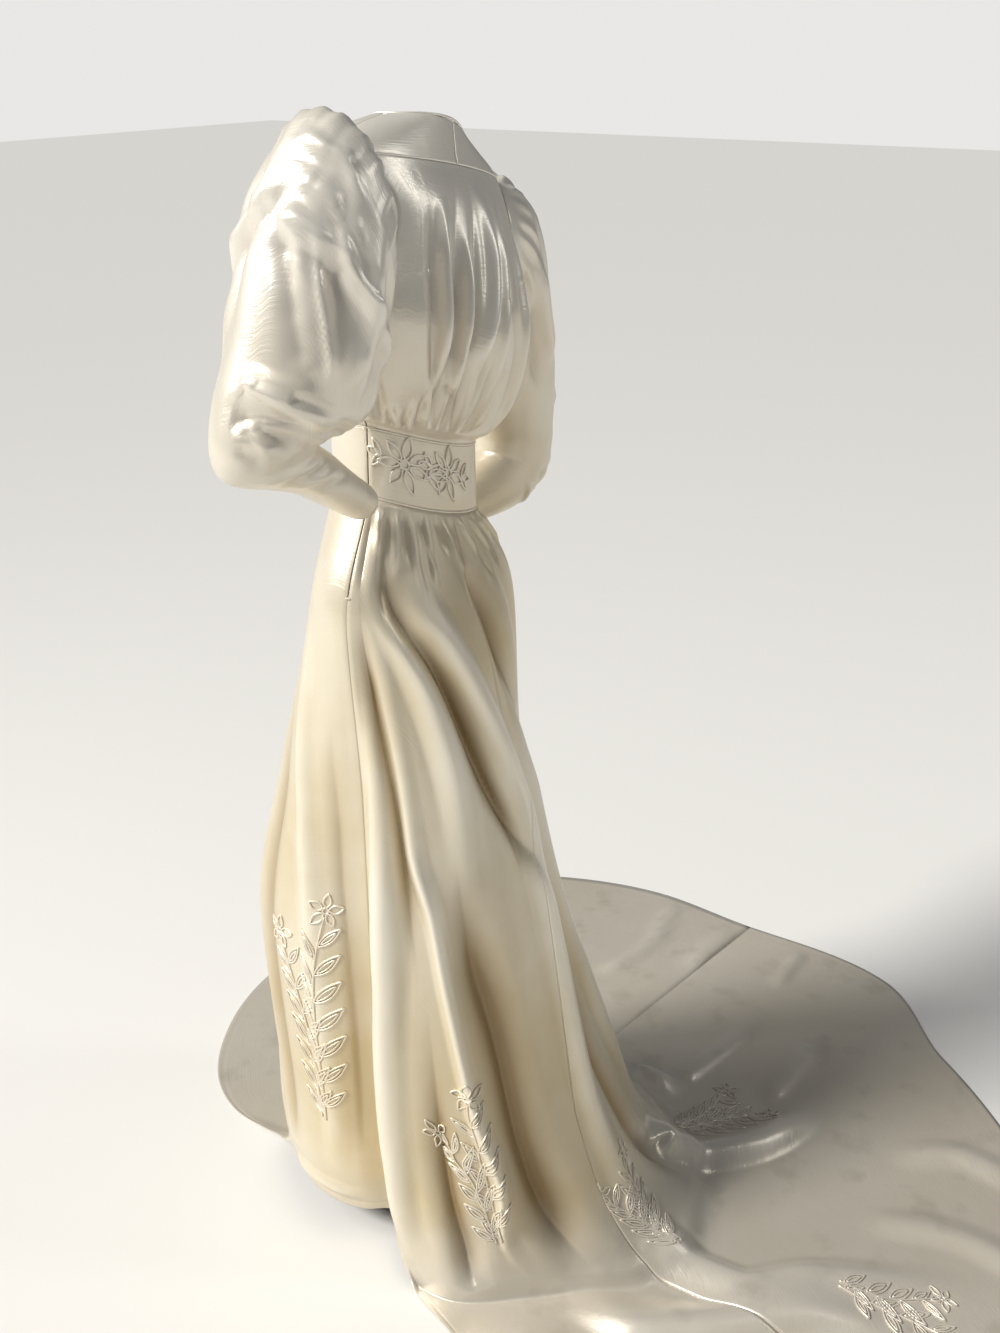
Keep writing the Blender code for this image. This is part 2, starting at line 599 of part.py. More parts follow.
def armhole_loop(side_angle, side):
    """Points round an armhole, from the shoulder down the front and up the back, just off the bodice."""
    down = ARMHOLE_ROWS[::-1]
    front = [(side_angle - side * ARMHOLE_FRONT_ANGLE * armhole_share(row), row) for row in down]
    back = [(side_angle + side * ARMHOLE_BACK_ANGLE * armhole_share(row), row) for row in ARMHOLE_ROWS[1:-1]]
    places = front + back
    loop = [torso_point(*place) + torso_normal(*place) * ARMHOLE_GAP for place in places]
    share = SLEEVE_COLUMNS // LOOP_SEGMENTS
    points = []
    for here, after in zip(loop, loop[1:] + loop[:1]):
        points += [here + (after - here) * k / share for k in range(share)]
    return points + points[:1]


def make_sleeve(name, table, creases, side, side_angle, material):
    """One sleeve. side is 1 for the wearer's left and -1 for the right."""
    rows = [armhole_loop(side_angle, side)]
    for number, cuff in enumerate(table):
        outer = np.array([side * cuff.outer_x, cuff.mid_y, cuff.outer_h])
        inner = np.array([side * cuff.inner_x, cuff.mid_y, cuff.inner_h])
        middle = (outer + inner) / 2
        half = (outer - inner) / 2
        depth = np.array([0.0, -cuff.half_depth, 0.0])
        ring = []
        for column in range(SLEEVE_COLUMNS + 1):
            angle = 360.0 * column / SLEEVE_COLUMNS
            turned = math.radians(angle)
            reach = half * math.cos(turned) + depth * math.sin(turned)
            length = np.linalg.norm(reach)
            swell = GATHER_DEPTH * max(1 - number / GATHER_FADE_ROWS, 0) * math.cos(SLEEVE_GATHERS * turned)
            for crease in creases:
                away = number - crease.row
                centre = crease.angle + crease.drift * away
                swell += (
                    crease.rise
                    * bump(away, crease.half_rows)
                    * bump(turn_between(angle, centre), crease.half_width)
                )
            ring.append(middle + reach * (1 + swell / length))
        ring[-1] = ring[0]
        rows.append(ring)
    grid = np.array(rows)
    if side < 0:
        grid = grid[:, ::-1]
    return cloth_wall(name, grid, outward_normals(grid, True), material, closed=True)


def make_placket(material):
    """The strip behind the side opening, and the bar tack that closes its foot."""
    angles = [LEFT_SIDE - UNDERLAP_HALF_ANGLE, LEFT_SIDE, LEFT_SIDE + UNDERLAP_HALF_ANGLE]
    rows = [[skirt_point(angle, row) for angle in angles] for row in UNDERLAP_SKIRT_ROWS]
    rows += [[torso_point(angle, row) for angle in angles] for row in UNDERLAP_TORSO_ROWS]
    grid = np.array(rows)
    normals = grid_normals(grid)
    cloth_wall("placket_underlap", grid - normals * UNDERLAP_INSET, normals, material)
    ends = []
    for angle in (LEFT_SIDE - BAR_HALF_ANGLE, LEFT_SIDE + BAR_HALF_ANGLE):
        normal = surface_normal(skirt_point, angle, OPENING_FOOT, HEM, -1)
        ends.append(skirt_point(angle, OPENING_FOOT) + normal * (CORD_RADIUS / 2))
    cord("bar_tack", ends, CORD_RADIUS, material)


def make_skirt(material):
    """The front panel and the two back panels that run out into the train. Returns the walls."""
    rows = ([SKIRT_TOP] + SKIRT_ROWS[1:])[::-1]
    walls = {}
    panels = (
        ("skirt_front", SKIRT_RIGHT_SIDE - 360, LEFT_SIDE, SKIRT_FRONT_COLUMNS),
        ("skirt_back_left", LEFT_SIDE, CENTRE_BACK, SKIRT_BACK_LEFT_COLUMNS),
        ("skirt_back_right", CENTRE_BACK, SKIRT_RIGHT_SIDE, SKIRT_BACK_RIGHT_COLUMNS),
    )
    for name, first, last, columns in panels:
        wall = panel_grid(skirt_point, rows, (first, last), columns, skirt_gap, HEM)
        cloth_wall(name, *wall, material, on_floor=True)
        walls[name] = (*wall, (first, last), rows)
    return walls


def leaf_points(foot_t, side, size):
    """The corners of one leaf, as distances to the side of the stem and up it."""
    points = []
    for along, across in LEAF_CORNERS:
        out = along * size * math.sin(LEAF_LEAN) + across * size * math.cos(LEAF_LEAN)
        up = along * size * math.cos(LEAF_LEAN) - across * size * math.sin(LEAF_LEAN)
        points.append((side * (STEM_HALF_WIDTH + max(out, 0)), foot_t + up))
    return points


def spray_outline(length, pairs, leaf):
    """The outline of a stem with pairs of leaves and a bud at its head."""
    left = [(-STEM_HALF_WIDTH, 0.0)]
    right = [(STEM_HALF_WIDTH, 0.0)]
    for number in range(pairs):
        size = leaf * (0.72 + 0.28 * math.sin(math.pi * (number + 0.5) / pairs))
        left += leaf_points(length * (number + 0.30) / pairs, -1, size)
        right += leaf_points(length * (number + 0.55) / pairs, 1, size)
    left.append((-STEM_HALF_WIDTH, length))
    right.append((STEM_HALF_WIDTH, length))
    bud = [(-0.22 * leaf, length + 0.35 * leaf), (0.0, length + 0.8 * leaf), (0.22 * leaf, length + 0.35 * leaf)]
    return left + bud + right[::-1]


def on_facets(grid, column, row):
    """The point of a triangulated grid at a fractional column and row."""
    j = int(min(max(column, 0), grid.shape[1] - 1.000001))
    i = int(min(max(row, 0), grid.shape[0] - 1.000001))
    across, up = column - j, row - i
    corner = grid[i, j]
    far = grid[i + 1, j + 1]
    if across >= up:
        beside = grid[i, j + 1]
        return corner + across * (beside - corner) + up * (far - beside)
    above = grid[i + 1, j]
    return corner + up * (above - corner) + across * (far - above)


def make_spray(spray, panels, material):
    """One spray, cut where the facets of its panel meet and laid on them."""
    grid, normals, seams, rows = panels[spray.panel]
    columns = grid.shape[1] - 1
    order = np.argsort(rows)

    def place(angle, station):
        column = (angle - seams[0]) / (seams[1] - seams[0]) * columns
        return np.array([column, np.interp(station, np.array(rows)[order], order)])

    foot = place(spray.foot_angle, spray.foot_row)
    head = place(spray.head_angle, spray.head_row)
    # Lengths down the column at the foot, and the widths between it and the next one
    line = int(foot[0])
    numbers = range(len(rows))
    steps = np.linalg.norm(np.diff(grid[:, line], axis=0), axis=1)
    lengths = np.concatenate([[0], np.cumsum(steps)])
    widths = np.linalg.norm(grid[:, line + 1] - grid[:, line], axis=1)
    start = np.interp(foot[1], numbers, lengths)
    width = np.interp((foot[1] + head[1]) / 2, numbers, widths)
    stem = np.array([(head[0] - foot[0]) * width, np.interp(head[1], numbers, lengths) - start])
    length = np.linalg.norm(stem)
    stem /= length
    built = bmesh.new()
    corners = []
    for side, up in spray_outline(length, spray.pairs, spray.leaf):
        row = np.interp(start + stem[1] * up - stem[0] * side, lengths, numbers)
        column = foot[0] + (stem[0] * up + stem[1] * side) / np.interp(row, numbers, widths)
        corners.append(built.verts.new((column, row, 0)))
    built.faces.new(corners)
    bmesh.ops.triangulate(built, faces=built.faces[:])
    flat = np.array([vert.co[:2] for vert in built.verts])
    cuts = [((k, 0, 0), (1, 0, 0)) for k in lines_between(flat[:, 0])]
    cuts += [((0, k, 0), (0, 1, 0)) for k in lines_between(flat[:, 1])]
    cuts += [((k, 0, 0), (1, -1, 0)) for k in lines_between(flat[:, 0] - flat[:, 1])]
    for centre, across_cut in cuts:
        bmesh.ops.bisect_plane(
            built, geom=built.verts[:] + built.edges[:] + built.faces[:],
            dist=CUT_MERGE, plane_co=centre, plane_no=across_cut,
        )
    bmesh.ops.triangulate(built, faces=built.faces[:])
    bmesh.ops.dissolve_degenerate(built, dist=CUT_MERGE, edges=built.edges[:])
    grown = bmesh.ops.extrude_face_region(built, geom=built.faces[:])["geom"]
    top = {vert for vert in grown if isinstance(vert, bmesh.types.BMVert)}
    for vert in built.verts:
        column, row = vert.co[:2]
        normal = on_facets(normals, column, row)
        lift = SPRAY_GAP + SPRAY_HEIGHT * (vert in top)
        vert.co = on_facets(grid, column, row) + normal / np.linalg.norm(normal) * lift
    bmesh.ops.recalc_face_normals(built, faces=built.faces[:])
    return finish(spray.name, built, material)


def lines_between(values):
    """The whole numbers between the least and the greatest of these."""
    return range(math.ceil(values.min()), math.floor(values.max()) + 1)


def main():
    clear_scene()
    body = satin("ivory_satin", IVORY)
    trim = satin("satin_cord", IVORY_SHADE)
    make_bodice(body)
    panels = make_band(body)
    make_edges(trim)
    make_sleeve("sleeve_left", LEFT_SLEEVE, LEFT_CREASES, 1, LEFT_SIDE, body)
    make_sleeve("sleeve_right", RIGHT_SLEEVE, RIGHT_CREASES, -1, BODICE_RIGHT_SIDE, body)
    make_placket(trim)
    panels.update(make_skirt(body))
    for spray in SPRAYS:
        make_spray(spray, panels, trim)


main()
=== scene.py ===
# %% [markdown]
# # A satin wedding dress with a train
# The dress is cut from heavy ivory satin: a gathered bodice on a yoke, an inset waistband, sleeves that
# are full to the elbow, and three skirt panels that run out into a train. This lesson dresses the solid
# frame of the part with fine cloth. Heights in the tables are above the floor, the dress faces -Y, and
# its own left side is +X. An angle of 0 is the centre front, 90 the left side, 180 the centre back and
# 270 the right side.

# %% Load the fixed frame
import math
from collections import namedtuple

import bmesh
import bpy
import numpy as np
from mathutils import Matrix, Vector


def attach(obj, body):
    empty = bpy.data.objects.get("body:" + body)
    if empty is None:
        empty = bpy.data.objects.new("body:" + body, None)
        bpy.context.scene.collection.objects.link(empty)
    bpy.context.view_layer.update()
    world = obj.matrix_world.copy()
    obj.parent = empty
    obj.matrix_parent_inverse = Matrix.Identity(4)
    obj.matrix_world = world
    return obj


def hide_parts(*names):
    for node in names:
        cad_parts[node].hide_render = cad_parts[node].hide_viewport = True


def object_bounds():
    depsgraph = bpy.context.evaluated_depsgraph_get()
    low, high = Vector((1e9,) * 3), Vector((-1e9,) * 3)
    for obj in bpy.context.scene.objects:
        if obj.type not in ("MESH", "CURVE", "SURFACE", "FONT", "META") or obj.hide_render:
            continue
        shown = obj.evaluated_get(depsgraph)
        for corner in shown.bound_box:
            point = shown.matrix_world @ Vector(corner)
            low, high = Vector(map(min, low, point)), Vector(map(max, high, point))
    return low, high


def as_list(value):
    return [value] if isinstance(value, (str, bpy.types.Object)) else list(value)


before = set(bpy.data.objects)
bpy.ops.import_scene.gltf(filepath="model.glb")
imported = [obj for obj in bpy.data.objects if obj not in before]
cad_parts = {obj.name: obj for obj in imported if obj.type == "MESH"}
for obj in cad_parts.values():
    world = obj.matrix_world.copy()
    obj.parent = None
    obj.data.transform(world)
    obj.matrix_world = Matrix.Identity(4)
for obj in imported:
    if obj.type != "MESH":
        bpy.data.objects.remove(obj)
cad_box = [list(corner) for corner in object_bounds()]
print("solid model from", cad_box[0], "to", cad_box[1])

# %% [markdown]
# ## Camera
# The photograph was taken from behind the left shoulder, at eye height and tilted down by 23 degrees. A
# lens of 41 mm on a 36 mm long side gives the same perspective. The camera is placed first, so that every
# later step can be judged through it.

# %% Place the camera
SHOULDER_HEIGHT = 1.43
CAMERA_SPOT = (1.473, 1.039, 1.60 - SHOULDER_HEIGHT)
CAMERA_HEADING = (-0.848, -0.530)
CAMERA_TILT = math.radians(23)
LENS_MM = 41.2

lens = bpy.data.cameras.new("camera")
lens.lens = LENS_MM
lens.sensor_width = 36
camera = bpy.data.objects.new("camera", lens)
bpy.context.scene.collection.objects.link(camera)
camera.location = CAMERA_SPOT
looks = Vector((*(share * math.cos(CAMERA_TILT) for share in CAMERA_HEADING), -math.sin(CAMERA_TILT)))
camera.rotation_euler = looks.to_track_quat("-Z", "Y").to_euler()
bpy.context.scene.camera = camera
print("camera", LENS_MM, "mm, tilted", round(math.degrees(CAMERA_TILT)), "degrees")

# %% [markdown]
# ## The rings of the bodice
# A fitted garment is a set of rings round the body, joined by smooth curves. Each torso ring is half an
# ellipse in front and half behind. The rings are the same as in the part's source, so the cloth lies
# where the solids are.

# %% Rings of the torso
Ring = namedtuple("Ring", "width front back side_h front_h back_h tilt shift_x")
TORSO = [
    Ring(0.107, 0.099, 0.049, 1.060, 1.060, 1.050, 0.28, 0.000),
    Ring(0.106, 0.098, 0.048, 1.142, 1.142, 1.134, 0.28, 0.000),
    Ring(0.126, 0.110, 0.070, 1.156, 1.160, 1.152, 0.27, 0.000),
    Ring(0.148, 0.122, 0.100, 1.205, 1.210, 1.200, 0.24, 0.000),
    Ring(0.162, 0.125, 0.115, 1.275, 1.280, 1.275, 0.21, 0.000),
    Ring(0.163, 0.120, 0.104, 1.302, 1.340, 1.345, 0.19, 0.000),
    Ring(0.164, 0.108, 0.085, 1.385, 1.395, 1.410, 0.18, 0.000),
    Ring(0.152, 0.088, 0.063, 1.446, 1.430, 1.452, 0.18, 0.000),
    Ring(0.108, 0.068, 0.055, 1.474, 1.450, 1.480, 0.24, -0.006),
    Ring(0.066, 0.055, 0.050, 1.488, 1.462, 1.500, 0.35, -0.012),
]
LEFT_SIDE, CENTRE_BACK, BODICE_RIGHT_SIDE, SKIRT_RIGHT_SIDE = 96.0, 180.0, 264.0, 262.0
NECK = 9
print(len(TORSO), "rings from the waistband to the neckline")

# %% [markdown]
# ## Smooth curves between the rings
# Straight lines between the rings would leave creases at each of them. A monotone cubic curve passes
# through every ring and never swells past one, which is how cloth behaves between two places that hold
# it.


# %% Curve, rings and torso surface
def read_curve(places, values, at):
    """Reads a curve through values (one row for each place) at one number, without overshoot."""
    places = np.asarray(places, float)
    values = np.asarray(values, float)
    flat = values.reshape(len(places), -1)
    steps = np.diff(places)[:, None]
    slopes = np.diff(flat, axis=0) / steps
    before, after = slopes[:-1], slopes[1:]
    heavy = 2 * steps[1:] + steps[:-1]
    light = steps[1:] + 2 * steps[:-1]
    same = before * after > 0
    middle = (heavy + light) / (heavy / np.where(same, before, 1) + light / np.where(same, after, 1))
    tangents = np.concatenate([slopes[:1], np.where(same, middle, 0), slopes[-1:]])
    at = np.atleast_1d(at)
    i = np.clip(np.searchsorted(places, at) - 1, 0, len(places) - 2)
    step = steps[i]
    t = ((at - places[i]) / step[:, 0])[:, None]
    start = (1 + 2 * t) * (1 - t) ** 2 * flat[i] + t * (1 - t) ** 2 * step * tangents[i]
    end = t * t * (3 - 2 * t) * flat[i + 1] + t * t * (t - 1) * step * tangents[i + 1]
    return (start + end).reshape((len(at),) + values.shape[1:])


def ring_points(ring, angles):
    """Points on a ring of the body, one for each angle in degrees."""
    sine = np.sin(np.radians(angles))
    cosine = np.cos(np.radians(angles))
    depth = np.where(cosine > 0, ring.front, ring.back)
    end_h = np.where(cosine > 0, ring.front_h, ring.back_h)
    x = ring.shift_x + ring.width * sine
    height = ring.side_h * sine**2 + end_h * cosine**2 + ring.tilt * x
    return np.stack([x, -depth * cosine, height], axis=-1)


def torso(angles, station):
    """Points of the plain bodice at these angles. Station 0 is the foot of the waistband and 9 the neckline."""
    rings = np.array([ring_points(ring, angles) for ring in TORSO])
    return read_curve(range(len(TORSO)), rings, station)[0]


print("the left side of the chest is at", torso(np.array([90.0]), 4)[0].round(3))

# %% [markdown]
# ## The skirt as spokes
# A skirt flares, so it is laid out as spokes: lines down the cloth from the waist, each with its distance
# from the body's axis at the thigh, knee and shin, where it meets the floor, and at the hem. The long
# spokes make the train.

# %% Spokes of the skirt
Spoke = namedtuple("Spoke", "angle thigh knee low touch hem touch_h hem_h")
SPOKES = [
    Spoke(0, 0.165, 0.205, 0.225, 0.270, 0.420, 0.00, 0.00),
    Spoke(5, 0.172, 0.215, 0.225, 0.255, 0.365, 0.00, 0.00),
    Spoke(12, 0.178, 0.222, 0.222, 0.235, 0.255, 0.02, 0.01),
    Spoke(30, 0.186, 0.228, 0.216, 0.212, 0.206, 0.10, 0.055),
    Spoke(60, 0.172, 0.196, 0.185, 0.180, 0.172, 0.10, 0.050),
    Spoke(84, 0.162, 0.170, 0.160, 0.152, 0.145, 0.10, 0.050),
    Spoke(97, 0.155, 0.150, 0.134, 0.127, 0.122, 0.09, 0.045),
    Spoke(108, 0.166, 0.184, 0.186, 0.178, 0.170, 0.07, 0.030),
    Spoke(120, 0.165, 0.188, 0.200, 0.212, 0.228, 0.00, 0.00),
    Spoke(131, 0.160, 0.190, 0.212, 0.240, 0.310, 0.00, 0.00),
    Spoke(142, 0.155, 0.190, 0.218, 0.255, 0.570, 0.00, 0.00),
    Spoke(151, 0.150, 0.190, 0.224, 0.268, 0.918, 0.00, 0.00),
    Spoke(165, 0.145, 0.190, 0.234, 0.310, 1.230, 0.00, 0.00),
    Spoke(178, 0.140, 0.188, 0.242, 0.390, 1.350, 0.00, 0.00),
    Spoke(195, 0.132, 0.182, 0.250, 0.435, 1.190, 0.00, 0.00),
    Spoke(212, 0.128, 0.174, 0.252, 0.430, 0.900, 0.00, 0.00),
    Spoke(231, 0.136, 0.184, 0.262, 0.420, 0.889, 0.00, 0.00),
    Spoke(245, 0.150, 0.195, 0.270, 0.418, 0.945, 0.00, 0.00),
    Spoke(264, 0.168, 0.202, 0.270, 0.405, 0.900, 0.00, 0.00),
    Spoke(276, 0.170, 0.205, 0.262, 0.385, 0.915, 0.00, 0.00),
    Spoke(290, 0.170, 0.205, 0.252, 0.360, 0.900, 0.00, 0.00),
    Spoke(305, 0.168, 0.205, 0.244, 0.340, 0.800, 0.00, 0.00),
    Spoke(320, 0.166, 0.205, 0.238, 0.315, 0.700, 0.00, 0.00),
    Spoke(334, 0.164, 0.204, 0.230, 0.292, 0.613, 0.00, 0.00),
    Spoke(347, 0.164, 0.204, 0.226, 0.280, 0.520, 0.00, 0.00),
]
HIP = Ring(0.165, 0.119, 0.091, 0.930, 0.930, 0.930, 0.05, 0.000)
THIGH_H, KNEE_H, LOW_H = 0.71, 0.48, 0.22
FOOT_OUT, FOOT_UP = 0.36, 0.38
SKIM_OUT, SKIM_UP = 0.70, 0.11
TOUCH, HEM = 7, 8
CLOTH_LIFT = 0.0020
print(len(SPOKES), "spokes, the longest", max(spoke.hem for spoke in SPOKES), "m")

# %% [markdown]
# The spokes are joined round the body and down the cloth by the same smooth curve. The foot and skim rows
# round the cloth onto the floor, because satin never meets it in a sharp corner.


# %% Skirt surface
def skirt(angles, station):
    """Points of the plain skirt. Station 0 is the waist, 7 is where it meets the floor and 8 is the hem."""
    around = SPOKES[-3:] + SPOKES + SPOKES[:3]
    turns = [-360] * 3 + [0] * len(SPOKES) + [360] * 3
    degrees = [spoke.angle + turn for spoke, turn in zip(around, turns)]
    thigh, knee, low, touch, hem, touch_h, hem_h = read_curve(degrees, [s[1:] for s in around], angles % 360).T
    sine, cosine = np.sin(np.radians(angles)), np.cos(np.radians(angles))
    outs = [
        (thigh, THIGH_H + 0 * low),
        (knee, KNEE_H + 0 * low),
        (low, LOW_H + 0 * low),
        (low + FOOT_OUT * (touch - low), touch_h + FOOT_UP * (LOW_H - touch_h) + CLOTH_LIFT),
        (low + SKIM_OUT * (touch - low), touch_h + SKIM_UP * (LOW_H - touch_h) + CLOTH_LIFT),
        (touch, touch_h + CLOTH_LIFT),
        (hem, hem_h + CLOTH_LIFT),
    ]
    lines = [ring_points(TORSO[0], angles), ring_points(HIP, angles)]
    lines += [np.stack([sine * out, -cosine * out, height], axis=-1) for out, height in outs]
    return read_curve(range(len(lines)), lines, station)[0]


print("the train ends", skirt(np.array([178.0]), HEM)[0].round(3))

# %% [markdown]
# ## Sleeves
# A leg-of-mutton sleeve is a tube that swells above the elbow. Its sections are given by an outer and an
# inner point in the plane that the sleeve bends in, and by its depth. Both sleeves bend and come back to
# the waist.

# %% Sections of the sleeves
Cuff = namedtuple("Cuff", "outer_x outer_h inner_x inner_h mid_y half_depth")
LEFT_SLEEVE = [
    Cuff(0.180, 1.508, 0.176, 1.322, 0.034, 0.068),
    Cuff(0.212, 1.520, 0.180, 1.298, 0.040, 0.078),
    Cuff(0.250, 1.495, 0.182, 1.268, 0.042, 0.081),
    Cuff(0.283, 1.435, 0.184, 1.238, 0.041, 0.082),
    Cuff(0.306, 1.365, 0.186, 1.215, 0.037, 0.081),
    Cuff(0.324, 1.300, 0.192, 1.199, 0.030, 0.076),
    Cuff(0.340, 1.245, 0.205, 1.193, 0.018, 0.068),
    Cuff(0.350, 1.195, 0.217, 1.194, 0.010, 0.056),
    Cuff(0.336, 1.160, 0.222, 1.190, 0.004, 0.048),
    Cuff(0.290, 1.144, 0.216, 1.182, 0.006, 0.042),
    Cuff(0.248, 1.130, 0.202, 1.170, 0.012, 0.038),
    Cuff(0.205, 1.106, 0.184, 1.152, 0.018, 0.034),
    Cuff(0.160, 1.080, 0.148, 1.122, 0.024, 0.030),
]
RIGHT_SLEEVE = [
    Cuff(0.176, 1.428, 0.172, 1.262, -0.006, 0.058),
    Cuff(0.202, 1.418, 0.176, 1.242, -0.012, 0.064),
    Cuff(0.232, 1.384, 0.180, 1.216, -0.016, 0.067),
    Cuff(0.260, 1.332, 0.186, 1.188, -0.019, 0.068),
    Cuff(0.284, 1.270, 0.192, 1.155, -0.022, 0.067),
    Cuff(0.304, 1.200, 0.198, 1.126, -0.025, 0.064),
    Cuff(0.318, 1.130, 0.206, 1.099, -0.028, 0.059),
    Cuff(0.327, 1.066, 0.214, 1.079, -0.030, 0.053),
    Cuff(0.322, 1.012, 0.216, 1.066, -0.032, 0.048),
    Cuff(0.290, 0.983, 0.208, 1.056, -0.038, 0.043),
    Cuff(0.250, 0.970, 0.198, 1.048, -0.046, 0.039),
    Cuff(0.205, 0.967, 0.184, 1.038, -0.056, 0.034),
    Cuff(0.165, 0.972, 0.160, 1.028, -0.066, 0.030),
]
ARMHOLE_STATIONS = [5.0, 5.15, 5.5, 6.0, 6.5, 6.85, 7.0]
ARMHOLE_FRONT_ANGLE, ARMHOLE_BACK_ANGLE, ARMHOLE_EASE = 26.0, 40.0, 0.36
ARMHOLE_GAP = 0.0006


def armhole_width(station):
    """How wide the armhole is at a station, from 0 at the underarm and the shoulder to 1 between them."""
    share = min(abs(station - (ARMHOLE_STATIONS[0] + ARMHOLE_STATIONS[-1]) / 2), 1.0)
    return math.sqrt(1 - share * share)


def normals_of(points):
    """Unit normals of a grid whose rows climb and whose columns run to the left of the dress."""
    normals = np.cross(np.gradient(points, axis=1), np.gradient(points, axis=0))
    return normals / np.maximum(np.linalg.norm(normals, axis=2, keepdims=True), 1e-12)


def armhole(side_angle, side):
    """Points round an armhole, from the shoulder down the front and up the back, just off the bodice."""
    count = len(ARMHOLE_STATIONS)
    climb = np.interp(np.linspace(0, count - 1, 6 * (count - 1) + 1), range(count), ARMHOLE_STATIONS)
    places = [(side_angle - side * ARMHOLE_FRONT_ANGLE * armhole_width(row), row) for row in climb[::-1]]
    places += [(side_angle + side * ARMHOLE_BACK_ANGLE * armhole_width(row), row) for row in climb[1:-1]]
    points = []
    for angle, row in places:
        patch = np.array([torso(angle + np.array([-1.0, 0.0, 1.0]), row + step) for step in (-0.02, 0, 0.02)])
        points.append(patch[1, 1] + normals_of(patch)[1, 1] * ARMHOLE_GAP)
    return np.array(points + points[:1])


def sleeve_surface(table, side, side_angle):
    """A function that gives the points of a sleeve. Row -1 is the armhole, 0 the sleeve head and 12 the wrist."""
    loop = armhole(side_angle, side)
    share = np.linspace(0, 360, len(loop))

    def surface(angles, row):
        outer_x, outer_h, inner_x, inner_h, mid_y, half_depth = read_curve(range(len(table)), table, max(row, 0))[0]
        turned = np.radians(angles)[:, None]
        outer = np.array([side * outer_x, mid_y, outer_h])
        inner = np.array([side * inner_x, mid_y, inner_h])
        depth = np.array([0.0, -half_depth, 0.0])
        ring = (outer + inner) / 2 + (outer - inner) / 2 * np.cos(turned) + depth * np.sin(turned)
        if row < 0:
            edge = np.stack([np.interp(angles % 360, share, loop[:, k]) for k in range(3)], axis=-1)
            ring = ring + (edge - ring) * -row
        return ring

    return surface


sleeve_left = sleeve_surface(LEFT_SLEEVE, 1, LEFT_SIDE)
sleeve_right = sleeve_surface(RIGHT_SLEEVE, -1, BODICE_RIGHT_SIDE)
print("the left elbow is at", sleeve_left(np.array([0.0]), 7)[0].round(3))

# %% [markdown]
# ## Folds placed one by one
# Loose satin hangs in a few long folds that start at a gather and die away, each of its own length and
# depth. A fold here is a line on the plain surface, given by an angle and a station at each of its turns.
# The cloth beside the line is pushed out, or in where the rise is negative, along its own normal. A lean
# makes one side of the fold steeper, as where cloth tucks over itself. A cloth simulation could find such
# folds, but not these ones.


# %% Fold tools
Fold = namedtuple("Fold", "rise half_width lean line")


def sharp_dip(share):
    """1 in a crease at a share of 0, and down to 0 at a share of 1."""
    return np.where(share < 1, (1 - np.minimum(share, 1)) ** 1.8, 0)


def soft_bump(share):
    """1 at a share of 0, and smoothly down to 0 at a share of 1."""
    return np.where(share < 1, 0.5 + 0.5 * np.cos(math.pi * np.minimum(share, 1)), 0)


def trace(surface, line, samples=28):
    """Points along a fold line on a surface."""
    at = np.linspace(0, len(line) - 1, samples)
    places = read_curve(range(len(line)), line, at)
    return np.array([surface(np.array([angle]), station)[0] for angle, station in places])


def fold_rise(points, normals, surface, folds):
    """How far each point of a grid moves along its normal for all the folds that pass near it."""
    flat = points.reshape(-1, 3)
    up = normals.reshape(-1, 3)
    total = np.zeros(len(flat))
    for fold in folds:
        path = trace(surface, fold.line)
        reach = fold.half_width * (1 + abs(fold.lean))
        near = np.where(np.all((flat > path.min(0) - reach) & (flat < path.max(0) + reach), axis=1))[0]
        if not len(near):
            continue
        spot = flat[near]
        best = np.full(len(near), 1e9)
        along = np.zeros(len(near))
        side = np.zeros(len(near))
        for k in range(len(path) - 1):
            step = path[k + 1] - path[k]
            away = spot - path[k]
            share = np.clip(away @ step / (step @ step), 0, 1)
            gap = away - share[:, None] * step
            distance = np.linalg.norm(gap, axis=1)
            closer = distance < best
            best = np.where(closer, distance, best)
            along = np.where(closer, (k + share) / (len(path) - 1), along)
            turn = np.einsum("ij,ij->i", np.cross(step[None, :], gap), up[near])
            side = np.where(closer, np.sign(turn), side)
        width = fold.half_width * (1 + fold.lean * side)
        fade = np.minimum(1, 3.2 * along) * np.minimum(1, 3.2 * (1 - along))
        fade = fade * fade * (3 - 2 * fade)
        profile = soft_bump(best / width) if fold.rise > 0 else sharp_dip(best / (width * 1.25))
        total[near] += fold.rise * fade * profile
    return total.reshape(points.shape[:2])


# %% [markdown]
# ## One way to make every panel
# Each panel starts as a flat grid, as cloth does. Its points are then laid on the surface, and its folds
# are raised. The grid gets a map in metres along the threads, so that the weave has one scale everywhere.
# A Solidify modifier gives it a thickness of 0.9 mm, so that its edges show, and keeps the outer face in
# place.

# %% Panel tools
SATIN_THICKNESS = 0.0009
SEAM_HALF_GAP = 0.00004
OPENING_HALF_GAP = 0.0008
SEAM_DIP, SEAM_REACH = 0.0006, 0.005
# The fold rise that gets the full painted shade in a valley or the full painted highlight on a crest.
FULL_FOLD = 0.016
OPENING_FOOT, OPENING_TOP = 0.75, 2.6
panels = {}


